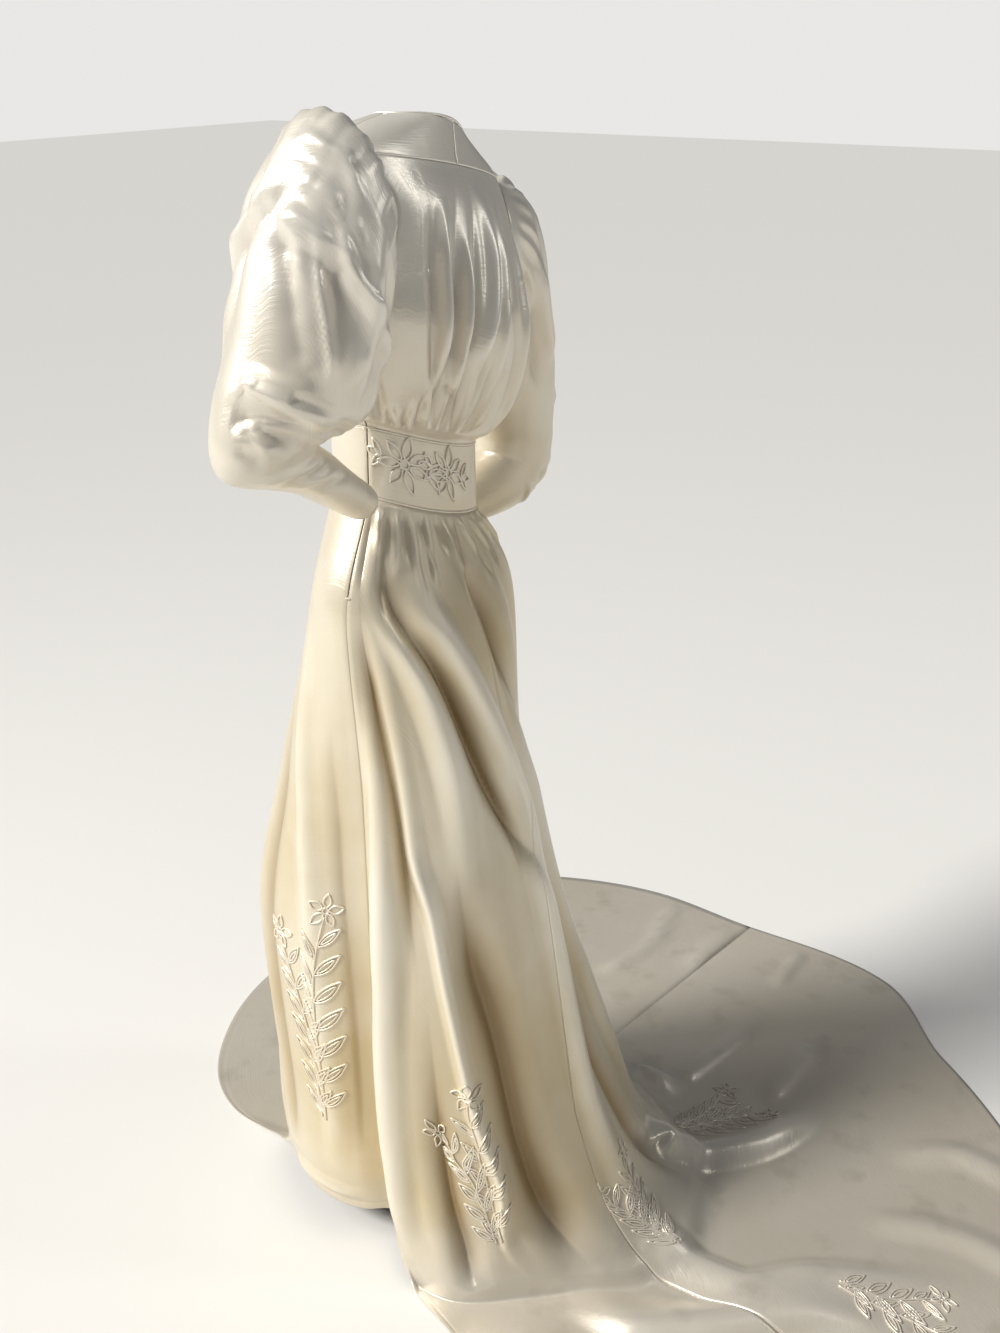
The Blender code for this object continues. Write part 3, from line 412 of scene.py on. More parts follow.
def lay_rows(surface, stations, first, last, columns, hole=(0, 0), opening=None):
    """Points and normals of a panel, worked out with one more column at each side for its neighbours."""
    rows = []
    for station in stations:
        gap = OPENING_HALF_GAP if opening and opening(station) else SEAM_HALF_GAP
        pair = surface(np.array([first, first + 1.0]), station)
        near = (gap if first == LEFT_SIDE else SEAM_HALF_GAP) / np.linalg.norm(pair[1] - pair[0])
        pair = surface(np.array([last, last - 1.0]), station)
        far = (gap if last == LEFT_SIDE else SEAM_HALF_GAP) / np.linalg.norm(pair[1] - pair[0])
        share = np.linspace(0, 1, columns)
        angles = first + near + (last - far - first - near) * share
        inside = ARMHOLE_STATIONS[0] <= station <= ARMHOLE_STATIONS[-1]
        draw = armhole_width(station) if inside and any(hole) else 0
        angles = angles + hole[0] * draw * np.maximum(1 - share / ARMHOLE_EASE, 0)
        angles = angles - hole[1] * draw * np.maximum(1 - (1 - share) / ARMHOLE_EASE, 0)
        step = angles[1] - angles[0]
        rows.append(surface(np.concatenate([[angles[0] - step], angles, [angles[-1] + step]]), station))
    points = np.array(rows)
    return points[:, 1:-1], normals_of(points)[:, 1:-1]


def seam_dip(points):
    """How far a panel dips beside its seams at both sides."""
    lengths = np.linalg.norm(np.diff(points, axis=1), axis=2)
    walked = np.concatenate([np.zeros((len(points), 1)), np.cumsum(lengths, axis=1)], axis=1)
    edge = np.minimum(walked, walked[:, -1:] - walked)
    return -SEAM_DIP * soft_bump(edge / SEAM_REACH)


def put(name, built, material):
    """Makes a piece of a bmesh that was worked out in heights above the floor."""
    bmesh.ops.translate(built, verts=built.verts[:], vec=(0, 0, -SHOULDER_HEIGHT))
    mesh = bpy.data.meshes.new(name)
    built.to_mesh(mesh)
    built.free()
    mesh.shade_smooth()
    mesh.materials.append(material)
    piece = bpy.data.objects.new(name, mesh)
    bpy.context.scene.collection.objects.link(piece)
    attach(piece, "root")
    return piece


def cloth(name, points, material, rise=0.0, closed=False):
    """Lays a flat grid on these points, with a map in metres, and gives it its thickness. rise sets the painted shade
    in the fold valleys and the painted highlight on their crests.
    """
    rows, columns = points.shape[:2]
    across = np.linalg.norm(np.diff(points, axis=1), axis=2)
    down = np.linalg.norm(np.diff(points, axis=0), axis=2)
    u = np.concatenate([np.zeros((rows, 1)), np.cumsum(across, axis=1)], axis=1)
    u -= u[:, columns // 2][:, None]
    v = np.concatenate([np.zeros((1, columns)), np.cumsum(down, axis=0)])
    flat = points.reshape(-1, 3).tolist()
    flat_u = u.ravel().tolist()
    flat_v = v.ravel().tolist()
    built = bmesh.new()
    bmesh.ops.create_grid(built, x_segments=columns - 1, y_segments=rows - 1, size=0.5)
    threads = built.loops.layers.uv.new("threads")
    # This layer carries the fold rise to the material, which paints shade in the valleys and a highlight on the
    # crests.
    fold = built.verts.layers.float.new("fold")
    depth = np.broadcast_to(np.clip(np.asarray(rise) / FULL_FOLD, -1, 1), (rows, columns)).ravel().tolist()
    for face in built.faces:
        for corner in face.loops:
            number = corner.vert.index
            corner[threads].uv = (flat_u[number], flat_v[number])
    for vert in built.verts:
        vert[fold] = depth[vert.index]
        vert.co = flat[vert.index]
    if closed:
        bmesh.ops.remove_doubles(built, verts=built.verts[:], dist=1e-6)
    piece = put(name, built, material)
    wall = piece.modifiers.new("wall", "SOLIDIFY")
    wall.thickness = SATIN_THICKNESS
    wall.offset = -1
    return piece


def cloth_size(piece):
    """The area of one side of a piece's cloth, in square metres."""
    return sum(face.area for face in piece.data.polygons)


print("cloth is", SATIN_THICKNESS * 1000, "mm thick, with seams", SEAM_HALF_GAP * 2000, "mm apart")

# %% [markdown]
# ## Colours and nodes
# Colours are picked as sRGB hex values, as on a screen, and Blender mixes light in linear values, so one
# function turns the first into the second. Another adds a shader node with its settings and links.


# %% Colour and node helpers
def linear(code):
    """A linear colour from an sRGB hex value."""
    shares = [int(code[k:k + 2], 16) / 255 for k in (0, 2, 4)]
    return [s / 12.92 if s <= 0.04045 else ((s + 0.055) / 1.055) ** 2.4 for s in shares] + [1.0]


def add_node(tree, kind, settings=None, **inputs):
    """Adds a node. Inputs are values, or sockets to link from."""
    node = tree.nodes.new(kind)
    for key, value in (settings or {}).items():
        setattr(node, key, value)
    for key, value in inputs.items():
        socket = node.inputs[int(key[1:]) if key[0] == "n" and key[1:].isdigit() else key.replace("_", " ")]
        if isinstance(value, bpy.types.NodeSocket):
            tree.links.new(value, socket)
        else:
            socket.default_value = value
    return node


def fade(tree, value, start, end, top=1.0):
    """A share that is 0 where a value is at start and rises to top where it is at end."""
    node = add_node(tree, "ShaderNodeMapRange", {"clamp": True}, Value=value)
    node.inputs["From Min"].default_value = start
    node.inputs["From Max"].default_value = end
    node.inputs["To Max"].default_value = top
    return node.outputs["Result"]


def tint_over(tree, share, below, code):
    """Mixes a colour, as an sRGB hex value, over the one below it."""
    node = add_node(tree, "ShaderNodeMix", {"data_type": "RGBA"}, n0=share, n6=below)
    node.inputs[7].default_value = linear(code)
    return node.outputs[2]


def scaled(tree, first, second):
    """The product of two numbers."""
    return add_node(tree, "ShaderNodeMath", {"operation": "MULTIPLY"}, n0=first, n1=second).outputs[0]


print("white paper is", [round(share, 3) for share in linear("E9E8E6")[:3]], "in linear values")

# %% [markdown]
# ## Silk satin
# Satin lets long smooth warp threads float over the weft, so it mirrors light in broad streaks along its
# folds and goes dark between them. A share of metallic stands for those threads, whose mirror light has
# the silk's own tint. The real floats are 0.1 mm wide, too fine to show, so they are drawn 3 mm wide as a
# faint bump across the cloth. Wider uneven ripples of 20 to 60 mm stand for the give of the cloth, and
# catch the light in streaks. Old silk yellows unevenly, so the ivory drifts between two tones. Painted
# shade darkens the fold valleys and a painted highlight lightens their crests. A painted highlight also
# lightens the top of the dress, a painted reflection greys the train on the floor, and blots of soil lie on it.

# %% Satin material
# The fold shade is painted shade, the crest and top colours are painted highlights, the train grey is a painted
# reflection, and the soil colour is real floor dirt.
IVORY, IVORY_WARM, TRAIN_PAINTED_REFLECTION, EDGE_SOIL = "E8DFC9", "D6C59E", "CFC9BF", "948A78"
FOLD_SHADE, CREST_PAINTED_HIGHLIGHT, TOP_PAINTED_HIGHLIGHT = "9A8258", "F9F4E8", "F5F1E9"


def make_satin(name, tint, tint_warm, ripple=0.34, rough=0.30):
    """A silk satin with slow colour drift, painted fold shade, painted highlights on the crests and the top, a painted
    reflection on the train, soil, ripples and a faint weave.
    """
    made = bpy.data.materials.new(name)
    made.use_nodes = True
    tree = made.node_tree
    shader = tree.nodes["Principled BSDF"]
    place = add_node(tree, "ShaderNodeTexCoord")
    drift = add_node(tree, "ShaderNodeTexNoise", Vector=place.outputs["Object"], Scale=4.0, Detail=4.0)
    fold = add_node(tree, "ShaderNodeAttribute", {"attribute_name": "fold"}).outputs["Fac"]
    height = add_node(tree, "ShaderNodeSeparateXYZ", Vector=place.outputs["Object"]).outputs["Z"]
    blot = add_node(tree, "ShaderNodeTexNoise", Vector=place.outputs["Object"], Scale=17.0, Detail=6.0)
    on_floor = fade(tree, height, -1.30, -1.42)
    colour = tint_over(tree, fade(tree, drift.outputs["Fac"], 0.38, 0.66), linear(tint), tint_warm)
    # Painted shade: the fold valleys are darkened to a deep tan.
    colour = tint_over(tree, fade(tree, fold, 0.1, -0.9, 0.95), colour, FOLD_SHADE)
    # Painted highlight: the fold crests are lightened to a pale ivory.
    colour = tint_over(tree, fade(tree, fold, 0.15, 1.0, 0.6), colour, CREST_PAINTED_HIGHLIGHT)
    # Painted highlight: the top of the dress, shoulders and sleeves, is lightened to near white, standing in for the
    # light from above.
    colour = tint_over(tree, fade(tree, height, -0.55, -0.05, 0.75), colour, TOP_PAINTED_HIGHLIGHT)
    # Painted reflection: the train where it lies on the floor is turned cool grey, standing in for the room mirrored
    # at a grazing angle.
    colour = tint_over(tree, scaled(tree, on_floor, 0.75), colour, TRAIN_PAINTED_REFLECTION)
    soil = scaled(tree, scaled(tree, fade(tree, blot.outputs["Fac"], 0.56, 0.78), on_floor), 0.35)
    tree.links.new(tint_over(tree, soil, colour, EDGE_SOIL), shader.inputs["Base Color"])
    stretch = add_node(tree, "ShaderNodeMapping", Vector=place.outputs["Object"])
    stretch.inputs["Scale"].default_value = (1.0, 1.0, 0.45)
    ripples = add_node(tree, "ShaderNodeTexNoise", Vector=stretch.outputs[0], Scale=26.0, Detail=2.0, Roughness=0.45)
    soft = add_node(tree, "ShaderNodeBump", Strength=ripple, Distance=0.0025, Height=ripples.outputs["Fac"])
    drawn = add_node(tree, "ShaderNodeMapping", Vector=place.outputs["UV"])
    drawn.inputs["Scale"].default_value = (14.0, 300.0, 1.0)
    floats = add_node(tree, "ShaderNodeTexNoise", Vector=drawn.outputs[0], Scale=1.0, Detail=3.0, Roughness=0.6)
    fine = add_node(tree, "ShaderNodeBump", Strength=0.30, Distance=0.0012, Height=floats.outputs["Fac"])
    tree.links.new(soft.outputs[0], fine.inputs["Normal"])
    tree.links.new(fine.outputs[0], shader.inputs["Normal"])
    shine = add_node(tree, "ShaderNodeMapRange", Value=drift.outputs["Fac"])
    shine.inputs["To Min"].default_value = rough - 0.03
    shine.inputs["To Max"].default_value = rough + 0.06
    tree.links.new(shine.outputs["Result"], shader.inputs["Roughness"])
    shader.inputs["IOR"].default_value = 1.56
    shader.inputs["Metallic"].default_value = 0.34
    shader.inputs["Specular IOR Level"].default_value = 0.7
    shader.inputs["Anisotropic"].default_value = 0.5
    shader.inputs["Sheen Weight"].default_value = 0.10
    shader.inputs["Sheen Roughness"].default_value = 0.35
    return made


ivory_satin = make_satin("ivory silk satin", IVORY, IVORY_WARM)
cord_satin = make_satin("satin rouleau cord", "F6EFE0", "EADFC8", ripple=0.1, rough=0.36)
print("materials:", ivory_satin.name, "and", cord_satin.name)

# %% [markdown]
# ## Bodice
# The back is cut wider than the body and gathered in at the yoke and at the band, so it blouses over the
# waist. Its folds run down and inwards. They are drawn close together and deep, because satin shows every
# one of them.

# %% Folds of the bodice
BODICE_FOLDS = [
    Fold(-0.008, 0.011, 0.2, [(154, 6.1), (148, 5.2), (144, 3.8), (148, 2.6), (152, 1.5)]),
    Fold(0.009, 0.013, 0.0, [(162, 6.3), (154, 5.0), (150, 3.5), (150, 2.7)]),
    Fold(-0.012, 0.016, 0.1, [(176, 6.9), (162, 5.2), (158, 4.4), (156, 3.8), (152, 3.4), (150, 2.9), (154, 2.2)]),
    Fold(0.010, 0.012, 0.3, [(170, 5.6), (166, 5.0), (162, 4.3), (160, 3.7), (158, 3.2), (158, 2.6)]),
    Fold(-0.010, 0.010, -0.2, [(184, 6.8), (172, 5.0), (166, 4.0), (162, 3.4), (164, 2.5), (170, 1.6)]),
    Fold(0.011, 0.018, 0.1, [(188, 6.6), (182, 5.0), (174, 4.0), (168, 3.2)]),
    Fold(-0.007, 0.009, 0.0, [(194, 4.8), (178, 4.0), (174, 3.5), (174, 3.1), (170, 2.3)]),
    Fold(-0.010, 0.014, 0.2, [(206, 6.6), (202, 5.2), (198, 4.4), (202, 3.5), (200, 2.2)]),
    Fold(0.007, 0.012, 0.0, [(198, 6.2), (192, 5.0), (186, 4.0), (182, 2.6)]),
    Fold(-0.006, 0.008, 0.0, [(180, 3.6), (178, 2.8), (176, 1.8)]),
    Fold(0.006, 0.008, 0.2, [(190, 3.7), (186, 2.9), (184, 1.9)]),
    Fold(-0.007, 0.008, 0.0, [(152, 3.1), (158, 2.8), (160, 1.6)]),
    Fold(0.006, 0.008, 0.0, [(148, 3.5), (146, 2.8), (152, 1.5)]),
    Fold(-0.005, 0.007, 0.0, [(142, 3.0), (141, 2.2), (145, 1.4)]),
    Fold(0.004, 0.007, 0.0, [(137, 2.8), (137, 2.1), (140, 1.4)]),
    Fold(-0.004, 0.006, 0.0, [(132, 2.5), (133, 1.9), (135, 1.4)]),
    Fold(0.004, 0.007, 0.0, [(127, 2.6), (128, 2.0), (130, 1.4)]),
    Fold(-0.004, 0.007, 0.0, [(121, 2.5), (123, 1.9), (125, 1.4)]),
    Fold(-0.007, 0.011, 0.0, [(112, 3.2), (114, 2.4), (117, 1.5)]),
    Fold(0.008, 0.012, 0.0, [(216, 6.2), (214, 4.8), (212, 3.4), (214, 2.2)]),
    Fold(-0.009, 0.012, -0.2, [(226, 5.4), (222, 4.2), (220, 3.0), (222, 1.7)]),
    Fold(0.007, 0.011, 0.0, [(236, 4.6), (230, 3.4), (230, 2.0)]),
    Fold(-0.006, 0.010, 0.0, [(246, 3.9), (240, 2.8), (239, 1.6)]),
    Fold(0.005, 0.009, 0.0, [(252, 3.0), (249, 2.2), (248, 1.5)]),
    Fold(-0.006, 0.011, 0.0, [(58, 3.3), (50, 2.4), (46, 1.5)]),
    Fold(0.006, 0.011, 0.0, [(36, 3.6), (34, 2.6), (30, 1.5)]),
    Fold(-0.005, 0.010, 0.0, [(22, 3.0), (20, 2.2), (18, 1.4)]),
    Fold(0.005, 0.010, 0.0, [(4, 2.9), (6, 2.1), (5, 1.4)]),
    Fold(-0.006, 0.010, 0.0, [(-16, 3.2), (-17, 2.3), (-16, 1.4)]),
    Fold(0.006, 0.011, 0.0, [(-37, 3.5), (-34, 2.5), (-33, 1.5)]),
    Fold(-0.006, 0.011, 0.0, [(-60, 3.2), (-52, 2.3), (-49, 1.5)]),
    Fold(-0.005, 0.014, 0.0, [(74, 4.6), (62, 4.2), (48, 3.6)]),
    Fold(-0.005, 0.014, 0.0, [(-74, 4.6), (-60, 4.3), (-46, 3.8)]),
]
print(len(BODICE_FOLDS), "folds gathered into the bodice")

# %% [markdown]
# The four panels of the bodice meet at the sides, the shoulders and the yoke seam. Front and back are
# drawn back from the side seams at the armholes. More rows go where the folds are, and the yoke is plain.


# %% Bodice panels
# Scales the painted fold shade and painted crest highlight on the bodice.
BODICE_SHADE = 1.5
BACK_HOLES = (ARMHOLE_BACK_ANGLE, ARMHOLE_BACK_ANGLE)
FRONT_HOLES = (ARMHOLE_FRONT_ANGLE, ARMHOLE_FRONT_ANGLE)


def torso_panel(name, stations, first, last, columns, hole=(0, 0), folds=BODICE_FOLDS, foot_share=0.0):
    """Lays a panel of the bodice with its folds. foot_share is how much of them is left at its first row."""
    points, normals = lay_rows(torso, stations, first, last, columns, hole, lambda row: row < OPENING_TOP)
    rise = fold_rise(points, normals, torso, folds) if folds else 0
    rise = rise + seam_dip(points)
    foot = np.clip((np.array(stations) - stations[0]) / 0.5 + foot_share, 0, 1)[:, None]
    points = points + normals * (rise * foot)[..., None]
    panels[name] = (points, (first, last), stations)
    return cloth(name, points, ivory_satin, rise * foot * BODICE_SHADE)


stations = list(np.linspace(1.04, 5.0, 76)) + list(np.linspace(5.0, 6.994, 42))[1:]
bodice_back = torso_panel("cloth_bodice_back", stations, LEFT_SIDE, BODICE_RIGHT_SIDE, 190, BACK_HOLES)
stations = list(np.linspace(1.04, 5.0, 60)) + list(np.linspace(5.0, 7.0, 34))[1:] + list(np.linspace(7.0, 9.0, 20))[1:]
bodice_front = torso_panel("cloth_bodice_front", stations, BODICE_RIGHT_SIDE - 360, LEFT_SIDE, 110, FRONT_HOLES)
stations = list(np.linspace(7.006, 9.0, 26))
yoke_left = torso_panel("cloth_yoke_left", stations, LEFT_SIDE, CENTRE_BACK, 60, folds=())
yoke_right = torso_panel("cloth_yoke_right", stations, CENTRE_BACK, BODICE_RIGHT_SIDE, 60, folds=())
for piece, node in (
    (bodice_back, "bodice_back"),
    (bodice_front, "bodice_front"),
    (yoke_left, "yoke_left"),
    (yoke_right, "yoke_right"),
):
    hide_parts(node)
    print(piece.name, "covers", round(cloth_size(piece), 3), "square metres")

# %% [markdown]
# ## Waistband
# The band is fitted, so it is smooth but for faint pulls between its seams. It is the ground for the
# embroidery.

# %% Waistband panels
BAND_FOLDS = [
    Fold(0.0012, 0.010, 0.0, [(112, 0.1), (121, 0.5), (130, 0.9)]),
    Fold(-0.0012, 0.012, 0.0, [(158, 0.9), (163, 0.5), (171, 0.15)]),
    Fold(0.0014, 0.012, 0.0, [(176, 0.9), (184, 0.5), (190, 0.1)]),
    Fold(-0.0012, 0.012, 0.0, [(204, 0.1), (212, 0.6), (222, 0.9)]),
    Fold(0.0012, 0.012, 0.0, [(60, 0.2), (48, 0.5), (30, 0.8)]),
    Fold(-0.0012, 0.012, 0.0, [(-30, 0.2), (-46, 0.5), (-58, 0.8)]),
]
stations = list(np.linspace(0.012, 0.965, 26))
band_back = torso_panel("cloth_band_back", stations, LEFT_SIDE, BODICE_RIGHT_SIDE, 150, folds=BAND_FOLDS,
                        foot_share=1.0)
band_front = torso_panel("cloth_band_front", stations, BODICE_RIGHT_SIDE - 360, LEFT_SIDE, 110, folds=BAND_FOLDS,
                         foot_share=1.0)
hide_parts("waistband_back")
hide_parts("waistband_front")
print("waistband of", round(cloth_size(band_back) + cloth_size(band_front), 3), "square metres")

# %% [markdown]
# ## Sleeves
# The full head of the sleeve is gathered into the armhole, so crisp short folds fan out from it. Long
# slack folds cross the puff, and a soft tuck hangs over the elbow where the sleeve bends.

# %% Folds of the sleeves
LEFT_FOLDS = [
    Fold(0.005, 0.016, 0.3, [(8, 1.6), (352, 1.9), (338, 2.0), (322, 1.9), (306, 2.2), (296, 2.8)]),
    Fold(-0.004, 0.014, 0.0, [(4, 2.1), (350, 2.3), (334, 2.3), (318, 2.3), (304, 2.7)]),
    Fold(0.004, 0.012, 0.2, [(0, 2.5), (344, 2.6), (326, 2.6), (308, 2.9), (294, 3.4)]),
    Fold(0.009, 0.024, 0.5, [(34, 2.2), (14, 2.7), (352, 3.1), (338, 3.5), (326, 4.2)]),
    Fold(-0.009, 0.024, 0.2, [(30, 2.7), (12, 3.1), (352, 3.5), (340, 4.0), (332, 4.6)]),
    Fold(0.007, 0.010, 0.3, [(330, 3.0), (322, 3.6), (312, 4.1), (300, 4.7), (290, 5.3)]),
    Fold(-0.008, 0.030, 0.0, [(322, 2.4), (312, 3.2), (302, 4.0), (292, 4.8)]),
    Fold(-0.006, 0.022, 0.0, [(340, 4.0), (328, 4.6), (314, 5.1)]),
    Fold(0.007, 0.020, 0.0, [(286, 1.6), (278, 2.8), (272, 4.0), (276, 5.2)]),
    Fold(-0.006, 0.020, 0.0, [(262, 1.8), (256, 3.0), (254, 4.4), (260, 5.6)]),
    Fold(0.010, 0.026, 0.4, [(14, 5.2), (352, 5.5), (330, 5.7), (304, 5.9), (276, 6.0), (250, 5.9)]),
    Fold(-0.010, 0.022, 0.1, [(8, 6.1), (348, 6.2), (326, 6.4), (300, 6.5), (270, 6.5)]),
    Fold(0.005, 0.016, 0.3, [(0, 6.3), (340, 6.3), (322, 6.7), (306, 7.1)]),
    Fold(-0.004, 0.014, 0.0, [(352, 6.7), (334, 7.0), (314, 7.4)]),
    Fold(-0.009, 0.026, 0.0, [(26, 0.9), (34, 2.2), (44, 3.6), (40, 5.2)]),
    Fold(0.009, 0.026, 0.0, [(52, 1.0), (62, 2.4), (66, 3.8), (56, 5.4)]),
    Fold(-0.009, 0.024, 0.2, [(80, 1.2), (90, 2.8), (90, 4.2), (80, 5.8)]),
    Fold(0.008, 0.022, 0.0, [(106, 1.6), (114, 3.2), (110, 4.6), (102, 5.8)]),
    Fold(-0.007, 0.018, 0.0, [(140, 2.4), (150, 4.0), (146, 6.0)]),
    Fold(0.0035, 0.012, 0.3, [(340, 8.3), (316, 8.1), (290, 8.2), (262, 8.6), (236, 8.9)]),
    Fold(-0.003, 0.011, 0.0, [(336, 8.8), (310, 8.7), (284, 8.9), (258, 9.3), (234, 9.5)]),
    Fold(0.0025, 0.011, 0.2, [(330, 9.5), (304, 9.4), (278, 9.7), (250, 10.1)]),
    Fold(-0.0025, 0.010, 0.0, [(322, 10.1), (298, 10.1), (270, 10.4), (244, 10.7)]),
    Fold(-0.004, 0.011, 0.0, [(40, 8.2), (62, 8.2), (86, 8.6), (110, 8.9)]),
    Fold(0.004, 0.011, 0.0, [(44, 9.0), (70, 9.2), (98, 9.6)]),
    Fold(-0.003, 0.010, 0.0, [(46, 10.0), (76, 10.4), (104, 10.7)]),
]
RIGHT_FOLDS = [
    Fold(0.009, 0.018, 0.2, [(60, 1.4), (72, 3.0), (66, 4.8)]),
    Fold(-0.010, 0.018, 0.0, [(86, 1.6), (98, 3.4), (92, 5.2)]),
    Fold(0.008, 0.016, 0.0, [(116, 2.2), (126, 3.8), (118, 5.6)]),
    Fold(-0.008, 0.018, 0.0, [(30, 1.2), (36, 2.8), (28, 4.6)]),
    Fold(0.008, 0.018, 0.2, [(330, 1.0), (322, 2.6), (330, 4.4)]),
    Fold(-0.009, 0.018, 0.0, [(306, 1.4), (296, 3.0), (304, 5.0)]),
    Fold(0.009, 0.018, 0.0, [(276, 1.2), (266, 3.0), (276, 4.8)]),
    Fold(-0.008, 0.016, 0.0, [(246, 1.6), (238, 3.2), (248, 5.0)]),
    Fold(0.006, 0.022, 0.3, [(-70, 5.7), (-35, 6.0), (0, 6.2), (40, 6.1)]),
    Fold(-0.006, 0.018, 0.0, [(-74, 6.3), (-36, 6.6), (0, 6.8), (44, 6.7)]),
    Fold(0.004, 0.012, 0.2, [(-66, 7.3), (-30, 7.7), (6, 7.9), (50, 7.6)]),
    Fold(-0.005, 0.010, 0.0, [(270, 8.0), (300, 8.4), (330, 8.7)]),
    Fold(0.004, 0.009, 0.0, [(268, 8.8), (300, 9.2), (326, 9.5)]),
    Fold(-0.004, 0.009, 0.0, [(60, 8.2), (90, 8.6), (120, 8.8)]),
    Fold(0.004, 0.009, 0.0, [(62, 9.4), (92, 9.8), (122, 10.0)]),
]
GATHER_LINES = [4, 13, 21, 31, 40, 52, 61, 72, 81, 93, 104, 114, 127, 141, 156, 170, 186, 201, 214, 227,
                238, 248, 259, 268, 277, 284, 293, 301, 310, 318, 329, 338, 347, 355]
GATHER_LENGTHS = [2.1, 1.4, 2.7, 1.7, 2.3, 1.2, 1.9]
GATHER_RISE, GATHER_HALF_WIDTH = 0.0020, 0.0065
gathers = [
    Fold(GATHER_RISE * (1 if number % 2 else -0.9), GATHER_HALF_WIDTH, 0.2,
         [(angle, -0.75), (angle + 2, 0.4), (angle + 4, GATHER_LENGTHS[number % 7])])
    for number, angle in enumerate(GATHER_LINES)
]
print(len(GATHER_LINES), "gathers round each armhole")

# %% [markdown]
# A sleeve is a closed grid, rolled into a tube with its edges joined. Its first rows run in from the
# armhole, and a shallow line of stitching goes round the wrist. The right sleeve mirrors the grid so that
# its faces point out.


# %% Sleeve pieces
SLEEVE_COLUMNS, ROOT_ROWS, SLEEVE_ROWS = 136, 9, 131
SLEEVE_START, WRIST = -0.985, 12
STITCH_DIP, STITCH_ROW, STITCH_REACH = 0.0012, 11.6, 0.12


def make_sleeve(name, surface, side, folds):
    """A sleeve from the armhole to the wrist."""
    angles = np.linspace(0, 360, SLEEVE_COLUMNS)
    step = angles[1]
    rows = list(np.linspace(SLEEVE_START, 0, ROOT_ROWS)) + list(np.linspace(0, WRIST, SLEEVE_ROWS))[1:]
    wide = np.concatenate([[-step], angles, [360 + step]])
    points = np.array([surface(wide, row) for row in rows])
    if side < 0:
        points = points[:, ::-1]
    normals = normals_of(points)[:, 1:-1]
    points = points[:, 1:-1]
    rise = fold_rise(points, normals, surface, folds)
    root = np.clip((np.array(rows) + 0.99) / 0.7, 0, 1)[:, None]
    cuff = -STITCH_DIP * soft_bump(np.abs(np.array(rows) - STITCH_ROW) / STITCH_REACH)[:, None]
    points = points + normals * (rise * root + cuff)[..., None]
    points[:, -1] = points[:, 0]
    return cloth(name, points, ivory_satin, rise * root, closed=True)


cloth_sleeve_left = make_sleeve("cloth_sleeve_left", sleeve_left, 1, LEFT_FOLDS + gathers)
cloth_sleeve_right = make_sleeve("cloth_sleeve_right", sleeve_right, -1, RIGHT_FOLDS + gathers)
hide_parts("sleeve_left")
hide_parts("sleeve_right")
print("sleeves of", round(cloth_size(cloth_sleeve_left), 3), "and", round(cloth_size(cloth_sleeve_right), 3))

# %% [markdown]
# ## Skirt and train
# The back of the skirt is gathered onto the band and drops in long folds that open out into the train. On
# the floor the folds turn into low rolls, given here by their ends as distances from the body's axis.

# %% Folds of the skirt
SKIRT_FOLDS = [
    Fold(0.018, 0.030, 0.2, [(103, 1.2), (104, 2.1), (108, 3.0), (107, 3.4), (110, 4.2), (113, 5.3), (119, 5.8)]),
    Fold(0.015, 0.017, 0.3, [(112, 0.4), (116, 1.7), (118, 2.2), (126, 2.6), (132, 3.1), (140, 3.7), (148, 4.3),
                             (149, 5.0), (158, 6.1)]),
    Fold(-0.014, 0.020, 0.0, [(107, 0.8), (108, 1.3), (110, 1.6), (116, 2.4), (122, 3.0)]),
    Fold(0.016, 0.036, 0.2, [(122, 0.6), (130, 1.0), (136, 1.3), (140, 1.8), (142, 2.6)]),
    Fold(-0.023, 0.028, 0.2, [(120, 0.3), (126, 0.7), (134, 1.0), (146, 1.3), (160, 1.9), (178, 2.4), (194, 2.9)]),
    Fold(-0.024, 0.040, 0.1, [(136, 2.2), (143, 2.9), (152, 3.4), (158, 4.1), (165, 5.0), (172, 6.2)]),
    Fold(0.022, 0.036, 0.2, [(138, 0.4), (144, 0.8), (154, 1.2), (172, 1.9), (182, 2.4), (185, 3.7), (188, 4.5),
                             (185, 6.5)]),
    Fold(-0.020, 0.030, 0.2, [(168, 0.3), (182, 0.8), (190, 1.3), (206, 1.9), (224, 2.4), (232, 3.0)]),
    Fold(0.019, 0.034, 0.1, [(188, 0.4), (194, 1.0), (202, 2.0), (214, 3.0), (226, 3.6), (230, 4.7), (232, 6.2)]),
    Fold(-0.021, 0.040, 0.0, [(196, 2.6), (204, 3.5), (208, 4.6), (210, 6.2)]),
    Fold(-0.018, 0.034, 0.0, [(124, 3.0), (130, 4.2), (136, 5.2), (138, 6.4)]),
    Fold(-0.012, 0.030, 0.0, [(246, 1.4), (248, 3.0), (248, 5.0), (250, 6.6)]),
    Fold(0.012, 0.034, 0.0, [(268, 1.2), (271, 3.0), (272, 5.0), (274, 6.6)]),
    Fold(-0.012, 0.032, 0.1, [(288, 1.2), (292, 3.2), (291, 5.0), (294, 6.6)]),
    Fold(0.010, 0.034, 0.0, [(309, 1.5), (312, 3.4), (312, 6.4)]),
    Fold(-0.010, 0.034, 0.0, [(331, 1.5), (334, 3.4), (335, 6.2)]),
    Fold(0.009, 0.034, 0.0, [(18, 1.6), (20, 3.4), (20, 6.6)]),
    Fold(-0.010, 0.032, 0.0, [(40, 1.3), (44, 3.0), (44, 6.4)]),
    Fold(0.010, 0.030, 0.0, [(59, 0.9), (60, 1.5), (66, 2.3), (72, 3.0), (74, 4.0), (70, 6.6)]),
    Fold(-0.008, 0.026, 0.0, [(80, 1.4), (84, 2.4), (88, 3.4), (86, 5.0)]),
    Fold(0.007, 0.014, 0.3, [(36, 7.7), (52, 7.5), (70, 7.5), (88, 7.6)]),
]
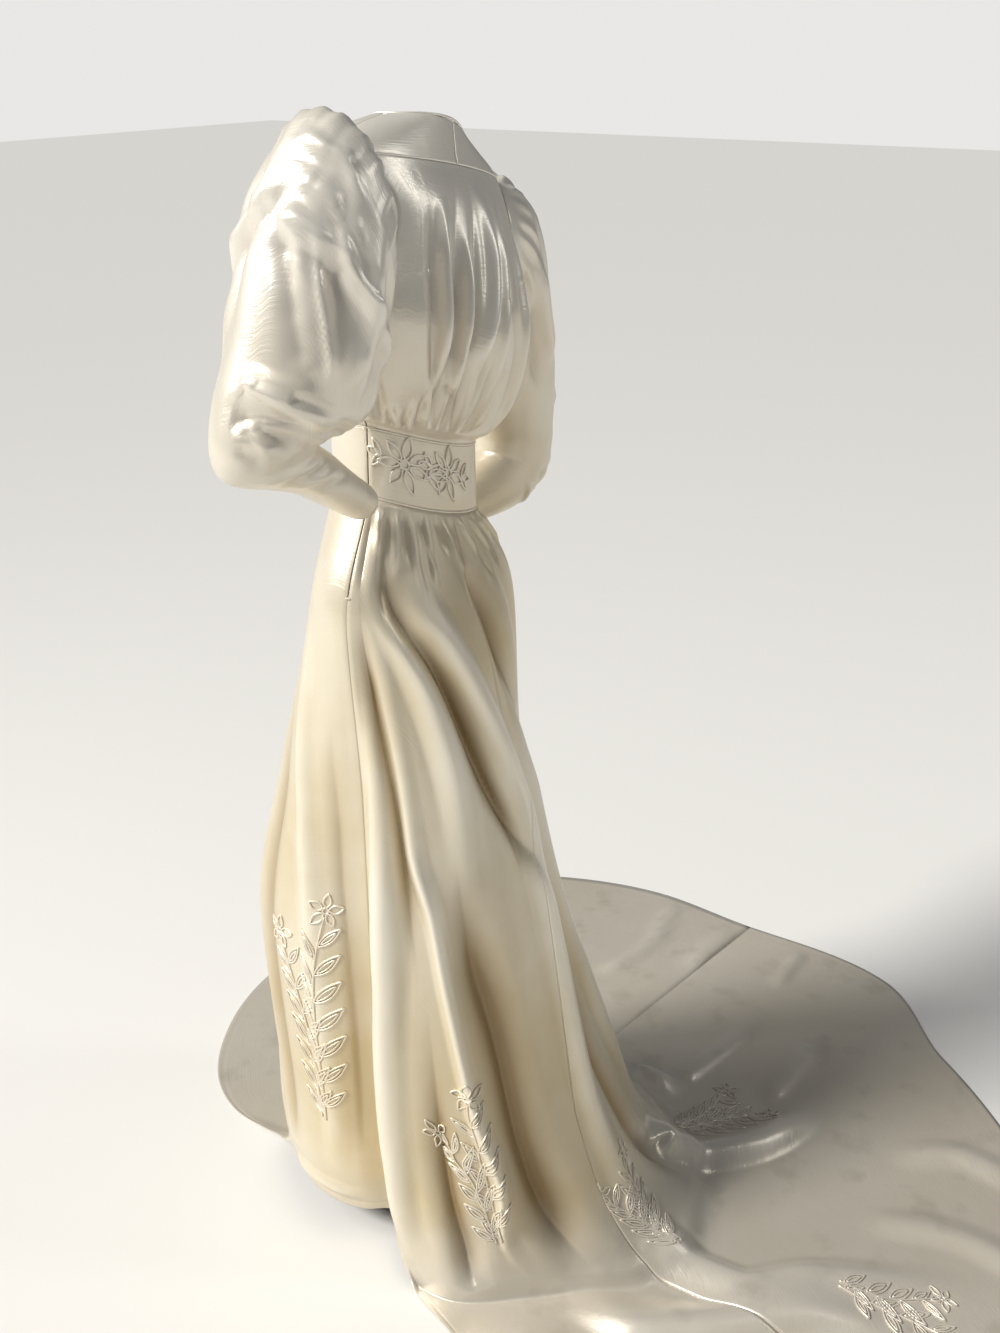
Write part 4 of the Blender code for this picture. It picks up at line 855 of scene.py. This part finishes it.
HIP_GATHERS = [103, 110, 116, 125, 131, 139, 146, 152, 161, 168, 175, 184, 190, 198, 206, 213, 222, 231, 240]
HIP_DRIFTS = [3, 6, 8, 5, 9, 7, 11]
HIP_LENGTHS = [0.75, 0.45, 0.95, 0.6, 0.5, 0.85, 0.55]
SKIRT_FOLDS += [
    Fold(0.0045 * (1 if number % 2 else -1), 0.0085, 0.2,
         [(angle, 0.03), (angle + HIP_DRIFTS[number % 7] / 2, HIP_LENGTHS[number % 7] / 2),
          (angle + HIP_DRIFTS[number % 7], HIP_LENGTHS[number % 7])])
    for number, angle in enumerate(HIP_GATHERS)
]
FLOOR_ROLLS = [
    Fold(0.020, 0.050, 0.2, [(0.086, 0.253), (0.097, 0.362), (0.048, 0.455), (-0.056, 0.581), (-0.110, 0.700)]),
    Fold(0.022, 0.052, -0.2, [(-0.048, 0.330), (-0.048, 0.385), (-0.050, 0.469), (-0.120, 0.556), (-0.232, 0.774)]),
    Fold(0.026, 0.050, 0.3, [(-0.160, 0.240), (-0.208, 0.279), (-0.333, 0.395), (-0.490, 0.446)]),
    Fold(0.022, 0.040, 0.0, [(-0.360, 0.120), (-0.380, 0.160), (-0.374, 0.235)]),
    Fold(0.011, 0.030, 0.3, [(-0.400, 0.215), (-0.428, 0.223), (-0.540, 0.246), (-0.660, 0.262)]),
    Fold(0.011, 0.030, 0.3, [(-0.430, 0.350), (-0.465, 0.360), (-0.570, 0.366), (-0.700, 0.385)]),
    Fold(0.009, 0.024, 0.3, [(-0.600, -0.055), (-0.650, -0.026), (-0.726, -0.007), (-0.800, -0.010)]),
    Fold(0.008, 0.022, 0.3, [(-0.730, 0.010), (-0.820, -0.018), (-0.910, -0.028)]),
    Fold(0.008, 0.022, -0.3, [(-0.700, 0.078), (-0.790, 0.082), (-0.880, 0.094)]),
    Fold(0.008, 0.022, 0.3, [(-0.720, 0.246), (-0.800, 0.244), (-0.870, 0.248)]),
    Fold(0.009, 0.040, 0.0, [(-0.250, 0.560), (-0.300, 0.700), (-0.280, 0.860)]),
    Fold(0.009, 0.040, 0.0, [(-0.400, 0.560), (-0.470, 0.660), (-0.450, 0.780)]),
    Fold(0.008, 0.034, 0.0, [(0.060, 0.620), (0.020, 0.800), (-0.030, 0.960)]),
    Fold(0.008, 0.034, 0.0, [(-0.120, 0.860), (-0.130, 1.000), (-0.100, 1.140)]),
    Fold(0.010, 0.036, 0.2, [(-0.400, -0.180), (-0.540, -0.250), (-0.700, -0.340)]),
    Fold(0.009, 0.034, 0.2, [(-0.200, -0.340), (-0.250, -0.420), (-0.300, -0.500)]),
    Fold(0.007, 0.030, 0.0, [(-0.350, -0.060), (-0.500, -0.110), (-0.620, -0.180)]),
]
HEM_REACH, HEM_DIP, HEM_STITCH = 0.012, 0.0010, 0.005
ROLL_TOP = 0.05
SKIRT_START, SKIRT_ROOT = 0.008, 0.12
print(len(SKIRT_FOLDS), "folds down the skirt and", len(FLOOR_ROLLS), "rolls on the floor")

# %% [markdown]
# The three panels run from the hem up to the waist. Folds are raised on the curved cloth, and rolls are
# worked out on the plan, so that they keep their width where the cloth bends onto the floor. Cloth never
# sinks into the floor.


# %% Skirt panels
def on_plan(across, along):
    """The floor, for rolls whose lines are given as distances to the left and to the back."""
    return np.array([[across[0], along, CLOTH_LIFT]])


def skirt_panel(name, first, last, columns, upper_rows, floor_rows):
    """Lays a panel of the skirt from the hem up to the waist, with its folds, rolls, seams and hem."""
    upper = np.linspace(SKIRT_START, TOUCH, upper_rows)
    lower = np.linspace(TOUCH, HEM, floor_rows)[1:]
    stations = list(np.concatenate([upper, lower])[::-1])
    points, normals = lay_rows(skirt, stations, first, last, columns, opening=lambda row: row < OPENING_FOOT)
    rise = fold_rise(points, normals, skirt, SKIRT_FOLDS)
    plan = points.copy()
    plan[:, :, 2] = CLOTH_LIFT + 2 * np.maximum(points[:, :, 2] - ROLL_TOP, 0)
    rise = rise + fold_rise(plan, normals, on_plan, FLOOR_ROLLS)
    rise = rise + seam_dip(points)
    walked = np.cumsum(np.linalg.norm(np.diff(points, axis=0, prepend=points[:1]), axis=2), axis=0)
    rise = rise - HEM_DIP * soft_bump(np.abs(walked - HEM_REACH) / HEM_STITCH)
    top = np.clip((np.array(stations) - SKIRT_START) / SKIRT_ROOT, 0.25, 1)[:, None]
    points = points + normals * (rise * top)[..., None]
    points[:, :, 2] = np.maximum(points[:, :, 2], CLOTH_LIFT - 0.0004)
    panels[name] = (points, (first, last), stations)
    return cloth(name, points, ivory_satin, rise * top)


skirt_front = skirt_panel("cloth_skirt_front", SKIRT_RIGHT_SIDE - 360, LEFT_SIDE, 200, 150, 44)
skirt_back_left = skirt_panel("cloth_skirt_back_left", LEFT_SIDE, CENTRE_BACK, 170, 170, 76)
skirt_back_right = skirt_panel("cloth_skirt_back_right", CENTRE_BACK, SKIRT_RIGHT_SIDE, 165, 168, 74)
for piece, node in (
    (skirt_front, "skirt_front"),
    (skirt_back_left, "skirt_back_left"),
    (skirt_back_right, "skirt_back_right"),
):
    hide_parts(node)
    print(piece.name, "covers", round(cloth_size(piece), 3), "square metres")

# %% [markdown]
# ## Placket and bound edges
# The side opening is backed by a strip of the same satin, and a bar of wrapped thread closes its foot.
# The band's edges and the neckline carry narrow cords. A cord is a tube: a grid rolled round a line, with
# its ends drawn in.


# %% Cord tool
def cord_grid(points, normals, radius, sides=8):
    """Rings of points round a line. normals say which way is up along it."""
    points = np.asarray(points)
    ahead = np.gradient(points, axis=0)
    ahead /= np.maximum(np.linalg.norm(ahead, axis=1, keepdims=True), 1e-12)
    up = normals - ahead * np.einsum("ij,ij->i", normals, ahead)[:, None]
    up /= np.maximum(np.linalg.norm(up, axis=1, keepdims=True), 1e-12)
    beside = np.cross(ahead, up)
    turn = np.linspace(0, 2 * math.pi, sides + 1)
    turn[-1] = 0
    ring = up[:, None] * np.cos(turn)[None, :, None] + beside[:, None] * np.sin(turn)[None, :, None]
    body = points[:, None] + ring * radius
    first = np.repeat(points[:1, None] - ahead[:1, None] * radius * 0.6, sides + 1, axis=1)
    last = np.repeat(points[-1:, None] + ahead[-1:, None] * radius * 0.6, sides + 1, axis=1)
    return np.concatenate([first, body, last])


def cords(name, grids):
    """One piece of many cords."""
    built = bmesh.new()
    threads = built.loops.layers.uv.new("threads")
    for grid in grids:
        rows, columns = grid.shape[:2]
        flat = grid.reshape(-1, 3).tolist()
        walked = np.concatenate([[0], np.cumsum(np.linalg.norm(np.diff(grid[:, 0], axis=0), axis=1))]).tolist()
        made = bmesh.ops.create_grid(built, x_segments=columns - 1, y_segments=rows - 1, size=0.5)["verts"]
        numbers = {vert: number for number, vert in enumerate(made)}
        faces = {face for vert in made for face in vert.link_faces}
        for face in faces:
            for corner in face.loops:
                number = numbers[corner.vert]
                corner[threads].uv = (walked[number // columns], (number % columns) * 0.0008)
        for vert, number in numbers.items():
            vert.co = flat[number]
    bmesh.ops.remove_doubles(built, verts=built.verts[:], dist=1e-6)
    bmesh.ops.recalc_face_normals(built, faces=built.faces[:])
    piece = put(name, built, cord_satin)
    centres = [grid[:, :-1].mean(axis=1) for grid in grids]
    run = sum(np.linalg.norm(np.diff(line, axis=0), axis=1).sum() for line in centres)
    print(name, "has", len(grids), "cords and", round(run, 3), "m of cord")
    return piece


# %% [markdown]
# The cords of the band stop at both sides of the opening. The neck cord stops at the short slit in the
# centre back, as a bound neckline does. The strip lies behind the whole opening, and the bar is a
# straight thread with a row of loops wrapped round it.


# %% Binding, band cords and placket
BAND_CORD_RADIUS, NECK_CORD_RADIUS, NECK_CORD_RISE = 0.0013, 0.0016, 0.0028
STRIP_HALF_ANGLE, STRIP_INSET = 3.6, 0.0034
BAR_POINTS, BAR_HALF_ANGLE, BAR_RISE = 15, 2.0, 0.0008
BAR_RADIUS, THREAD_RADIUS = 0.0009, 0.0002


def ring_line(angles, station, lift):
    """Points round the torso at a station, lifted off it, with their normals."""
    patch = np.array([torso(angles, min(max(station + step, 0), NECK)) for step in (-0.02, 0, 0.02)])
    normals = normals_of(patch)[1]
    return torso(angles, station) + normals * lift, normals


OPEN_ANGLE = math.degrees(OPENING_HALF_GAP / TORSO[0].width)
angles = np.linspace(LEFT_SIDE + OPEN_ANGLE, LEFT_SIDE + 360 - OPEN_ANGLE, 260)
for name, station, node in (("cord_band_foot", 0, "band_cord_foot"), ("cord_band_top", 1, "band_cord_top")):
    points, normals = ring_line(angles, station, -0.0004)
    piece = cords(name, [cord_grid(points, normals, BAND_CORD_RADIUS, 10)])
    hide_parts(node)
slit = math.degrees(0.0003 / TORSO[NECK].back)
angles = np.linspace(CENTRE_BACK + slit, CENTRE_BACK + 360 - slit, 200)
rim, normals = ring_line(angles, NECK, -0.0008)
upward = torso(angles, NECK) - torso(angles, NECK - 0.02)
upward /= np.linalg.norm(upward, axis=1, keepdims=True)
neck_roll = cords("neck_rouleau", [cord_grid(rim + upward * NECK_CORD_RISE, normals, NECK_CORD_RADIUS, 10)])
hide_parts("neck_binding")

strip_angles = np.linspace(LEFT_SIDE - STRIP_HALF_ANGLE, LEFT_SIDE + STRIP_HALF_ANGLE, 9)
rows = [skirt(strip_angles, station) for station in np.linspace(OPENING_FOOT, 0.08, 18)]
rows += [torso(strip_angles, station) for station in np.linspace(0.0, OPENING_TOP, 50)]
strip = np.array(rows)
strip_normals = normals_of(strip)
# The rows next to the waist share one direction, because the two surfaces meet at an angle there.
strip_normals[16:22] = strip_normals[[15]]
underlap = cloth("placket_strip", strip - strip_normals * STRIP_INSET, cord_satin)
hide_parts("placket_underlap")
ends = np.linspace(LEFT_SIDE - BAR_HALF_ANGLE, LEFT_SIDE + BAR_HALF_ANGLE, BAR_POINTS)
bar_line = skirt(ends, OPENING_FOOT)
around = np.array([skirt(ends, OPENING_FOOT + step) for step in (0.02, 0, -0.02)])
bar_normals = normals_of(around)[1]
bar_axis = bar_line[-1] - bar_line[0]
wrapped = [cord_grid(bar_line + bar_normals * BAR_RISE, bar_normals, BAR_RADIUS, 8)]
spin = np.linspace(0, 2 * math.pi, 13)
for centre, up in zip(bar_line[1:-1], bar_normals[1:-1]):
    across = np.cross(bar_axis, up)
    across /= np.linalg.norm(across)
    circle = np.outer(np.cos(spin), up) + np.outer(np.sin(spin), across)
    loop = centre + up * BAR_RISE + BAR_RADIUS * circle
    wrapped.append(cord_grid(loop, np.repeat(bar_axis[None], 13, axis=0), THREAD_RADIUS, 5))
thread_bar = cords("thread_bar", wrapped)
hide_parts("bar_tack")
print("bound the neck, corded the band and made the placket")

# %% [markdown]
# ## Corded embroidery
# The sprays are thin rouleau cord, couched down along drawn lines. Each spray is two stems with pairs of
# leaves and a small flower at each head, which is an ordinary floral motif with a layout of its own. The
# lines are worked out on a flat plan, as on a paper pattern, and are then laid over the folded cloth.

# %% Sprays on a flat plan
Spray = namedtuple("Spray", "name node panel foot_angle foot_row head_angle head_row pairs leaf flower")
SPRAYS = [
    Spray("corded_front_left", "spray_front_left", "cloth_skirt_front", 70, 4.1, 67, 2.75, 7, 0.056, 0.023),
    Spray("corded_front_right", "spray_front_right", "cloth_skirt_front", -62, 4.1, -58, 2.75, 7, 0.056, 0.023),
    Spray("corded_back_left", "spray_back_left", "cloth_skirt_back_left", 147, 5.0, 135, 3.65, 5, 0.050, 0.021),
    Spray("corded_back", "spray_back_centre", "cloth_skirt_back_right", 188, 6.1, 187, 4.6, 5, 0.042, 0.018),
    Spray("corded_train", "spray_train", "cloth_skirt_back_right", 229, 6.5, 231, 7.36, 5, 0.046, 0.018),
    Spray("corded_train_edge", "spray_train_edge", "cloth_skirt_back_right", 191, 7.34, 190, 7.52, 4, 0.046, 0.018),
    Spray("corded_band_left", "band_spray_left", "cloth_band_back", 121, 0.52, 148, 0.5, 3, 0.022, 0.017),
    Spray("corded_band_back", "band_spray_back", "cloth_band_back", 160, 0.5, 192, 0.5, 3, 0.022, 0.015),
]
CORD_RADIUS = 0.0013
CORD_LIFT = 0.0009


def petal(base, heading, length, width, samples=18):
    """A closed leaf or petal on the plan, from its base round its tip and back."""
    along = np.concatenate([np.linspace(0, 1, samples), np.linspace(1, 0, samples)[1:]])
    side = np.concatenate([np.ones(samples), -np.ones(samples)[1:]])
    bulge = np.sin(math.pi * along**0.85) * width / 2
    out = along * length * math.sin(heading) + side * bulge * math.cos(heading)
    up = along * length * math.cos(heading) - side * bulge * math.sin(heading)
    return np.stack([base[0] + out, base[1] + up], axis=-1)


def flower(centre, size, petals, width=0.5, start=10):
    """A ring of petals round a small eye."""
    lines = []
    for number in range(petals):
        heading = math.radians(360 / petals * number + start)
        base = centre + size * 0.2 * np.array([math.sin(heading), math.cos(heading)])
        lines.append(petal(base, heading, size * (0.88 + 0.12 * (number % 2)), size * width, 12))
    spin = np.linspace(0, 2 * math.pi, 15)
    lines.append(centre + size * 0.18 * np.stack([np.sin(spin), np.cos(spin)], axis=-1))
    return lines


def leafy_stem(length, spread, spray, side):
    """One stem that leans out to a side, with pairs of leaves and a flower at its head."""

    def stem(up, offset=0.0):
        share = up / length
        lean = side * spread * share**1.3
        sway = 0.10 * spray.leaf * np.sin(5.2 * share + side)
        return np.stack([lean + sway + offset, up], axis=-1)

    lines = [stem(np.linspace(0, length, 40))]
    for number in range(spray.pairs):
        size = spray.leaf * (0.70 + 0.30 * math.sin(math.pi * (number + 0.6) / spray.pairs))
        for way, share, lean in ((-1, 0.20, 0.62), (1, 0.62, 0.78)):
            start = length * (number + share) / spray.pairs * 0.92
            base = stem(np.array([start]), way * 0.001)[0]
            heading = way * lean + side * 0.12
            lines.append(petal(base, heading, size, size * 0.30))
            inner = petal(base + size * 0.12 * np.array([math.sin(heading), math.cos(heading)]), heading,
                          size * 0.66, size * 0.13, 12)
            lines.append(inner)
    centre = stem(np.array([length + spray.flower * 0.4]))[0]
    return lines + flower(centre, spray.flower, 5)


def spray_plan(length, spray):
    """The lines of one skirt spray on a flat plan: two leafy stems from one foot."""
    spread = 0.85 * spray.leaf
    return leafy_stem(length * 0.82, spread, spray, -1) + leafy_stem(length, spread * 0.8, spray, 1)


def band_plan(length, spray):
    """The lines of one spray on the band: a star flower with leaves trailing along the band."""
    middle = np.array([0.0, length * 0.5])
    lines = flower(middle, 0.030, 7, 0.36, 20)
    for way in (-1, 1):
        tail = middle + np.array([0.004 * way, 0.030 * way])
        for heading, size in ((0.15, 0.030), (0.95, 0.026), (-0.85, 0.026)):
            turned = heading + (math.pi if way < 0 else 0)
            lines.append(petal(tail, turned, size * 0.8, size * 0.30, 12))
    return lines


# %% [markdown]
# Couching lays a cord on the cloth and sews it down. A spray's plan is turned so that its stem runs from
# foot to head on the panel. Its points are then read from the panel's grid, folds included, and lifted so
# that most of the cord stands out.


# %% Couch the cords down
def between(grid, column, row):
    """A grid read at fractional columns and rows."""
    j = np.clip(column.astype(int), 0, grid.shape[1] - 2)
    i = np.clip(row.astype(int), 0, grid.shape[0] - 2)
    across = np.clip(column - j, 0, 1)[:, None]
    climb = np.clip(row - i, 0, 1)[:, None]
    low = grid[i, j] * (1 - across) + grid[i, j + 1] * across
    high = grid[i + 1, j] * (1 - across) + grid[i + 1, j + 1] * across
    return low * (1 - climb) + high * climb


for spray in SPRAYS:
    grid, seams, stations = panels[spray.panel]
    normals = normals_of(grid)
    order = np.argsort(stations)
    last_column = grid.shape[1] - 1
    foot = np.array([(spray.foot_angle - seams[0]) / (seams[1] - seams[0]) * last_column,
                     np.interp(spray.foot_row, np.array(stations)[order], order)])
    head = np.array([(spray.head_angle - seams[0]) / (seams[1] - seams[0]) * last_column,
                     np.interp(spray.head_row, np.array(stations)[order], order)])
    line = int(foot[0])
    numbers = np.arange(len(stations))
    lengths = np.concatenate([[0], np.cumsum(np.linalg.norm(np.diff(grid[:, line], axis=0), axis=1))])
    reach = slice(max(line - 4, 0), line + 5)
    widths = np.linalg.norm(np.diff(grid[:, reach], axis=1), axis=2).mean(axis=1)
    start = np.interp(foot[1], numbers, lengths)
    width = np.interp((foot[1] + head[1]) / 2, numbers, widths)
    stem = np.array([(head[0] - foot[0]) * width, np.interp(head[1], numbers, lengths) - start])
    length = np.linalg.norm(stem)
    stem /= length
    grids = []
    for plan in (band_plan if spray.panel == "cloth_band_back" else spray_plan)(length, spray):
        side, up = plan.T
        row = np.interp(start + stem[1] * up - stem[0] * side, lengths, numbers)
        column = foot[0] + (stem[0] * up + stem[1] * side) / np.interp(row, numbers, widths)
        facing = between(normals, column, row)
        facing /= np.linalg.norm(facing, axis=1, keepdims=True)
        grids.append(cord_grid(between(grid, column, row) + facing * CORD_LIFT, facing, CORD_RADIUS, 7))
    piece = cords(spray.name, grids)
    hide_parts(spray.node)
    print(spray.name, "is", round(length, 3), "m long")

# %% [markdown]
# ## Cut of the cloth
# Each panel is listed with the flat size that it is cut from, as on the cutting table. Few panels fill
# that rectangle, so the area of its cloth and its share of the rectangle are printed.

Cut = namedtuple("Cut", "piece width length held rests_on")
CUTS = [
    Cut(bodice_back, 0.62, 0.40, "gathered", [band_back]),
    Cut(bodice_front, 0.56, 0.45, "gathered", [band_front]),
    Cut(yoke_left, 0.15, 0.075, "hung", [bodice_back]),
    Cut(yoke_right, 0.15, 0.075, "hung", [bodice_back]),
    Cut(band_back, 0.30, 0.09, "stretched", [bodice_back]),
    Cut(band_front, 0.33, 0.09, "stretched", [bodice_front]),
    Cut(cloth_sleeve_left, 0.56, 0.78, "gathered", [bodice_back]),
    Cut(cloth_sleeve_right, 0.50, 0.72, "gathered", [bodice_back]),
    Cut(skirt_front, 1.80, 1.45, "hung", [band_front]),
    Cut(skirt_back_left, 1.10, 1.95, "gathered", [band_back]),
    Cut(skirt_back_right, 1.25, 1.85, "gathered", [band_back]),
    Cut(underlap, 0.02, 0.23, "hung", [band_back]),
]
for cut in CUTS:
    area = cloth_size(cut.piece)
    share = area / (cut.width * cut.length)
    print(cut.piece.name, "area", round(area, 3), "of", round(cut.width * cut.length, 3), "share", round(share, 2))
    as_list(cut.rests_on)

# %% [markdown]
# ## Studio
# A satin is only as good as what it mirrors. Broad window light comes from the left of the picture, one
# strip light adds bright streaks along the folds, and a dim one behind and a weak room light keep the
# shadows open. The dark gaps between them matter as much, because they are what the cloth goes dark with.
# The camera sees a paler backdrop than the one that lights the cloth.

# %% Floor, lights and room
built = bmesh.new()
bmesh.ops.create_grid(built, x_segments=2, y_segments=2, size=14)
bmesh.ops.translate(built, verts=built.verts[:], vec=(-6, -3, -SHOULDER_HEIGHT))
floor_mesh = bpy.data.meshes.new("studio floor")
built.to_mesh(floor_mesh)
built.free()
floor = bpy.data.objects.new("studio floor", floor_mesh)
bpy.context.scene.collection.objects.link(floor)
paper = bpy.data.materials.new("matt white paper")
paper.use_nodes = True
paper.node_tree.nodes["Principled BSDF"].inputs["Base Color"].default_value = linear("E9E8E6")
paper.node_tree.nodes["Principled BSDF"].inputs["Roughness"].default_value = 0.9
floor_mesh.materials.append(paper)


def soft_light(name, spot, target, size, watts):
    """A rectangular light that faces a target."""
    lamp = bpy.data.lights.new(name, "AREA")
    lamp.shape = "RECTANGLE"
    lamp.size, lamp.size_y = size
    lamp.energy = watts
    lamp.color = linear("FFFDF8")[:3]
    made = bpy.data.objects.new(name, lamp)
    bpy.context.scene.collection.objects.link(made)
    made.location = spot
    made.rotation_euler = (Vector(target) - Vector(spot)).to_track_quat("-Z", "Y").to_euler()


day = bpy.data.lights.new("window light", "SUN")
day.energy = 3.5
day.angle = math.radians(16)
day.color = linear("FFFCF6")[:3]
window = bpy.data.objects.new("window light", day)
bpy.context.scene.collection.objects.link(window)
window.rotation_euler = Vector((-0.80, 0.50, -0.80)).to_track_quat("-Z", "Y").to_euler()
soft_light("left strip", (1.5, -2.1, 1.2), (0, 0, -0.5), (0.5, 1.8), 34)
soft_light("back strip", (-1.3, 2.9, 1.5), (-0.1, 0.2, -0.7), (0.5, 1.6), 16)
world = bpy.data.worlds.new("pale room")
bpy.context.scene.world = world
world.use_nodes = True
tree = world.node_tree
room = tree.nodes["Background"]
room.inputs["Color"].default_value = linear("E6EAF0")
room.inputs["Strength"].default_value = 0.17
backdrop = add_node(tree, "ShaderNodeBackground", Color=linear("EEEDEB"), Strength=0.95)
seen = add_node(tree, "ShaderNodeLightPath")
either = add_node(tree, "ShaderNodeMixShader", n0=seen.outputs["Is Camera Ray"], n1=room.outputs[0])
tree.links.new(backdrop.outputs[0], either.inputs[2])
tree.links.new(either.outputs[0], tree.nodes["World Output"].inputs["Surface"])
bpy.context.scene.view_settings.view_transform = "Standard"
print("studio lit")
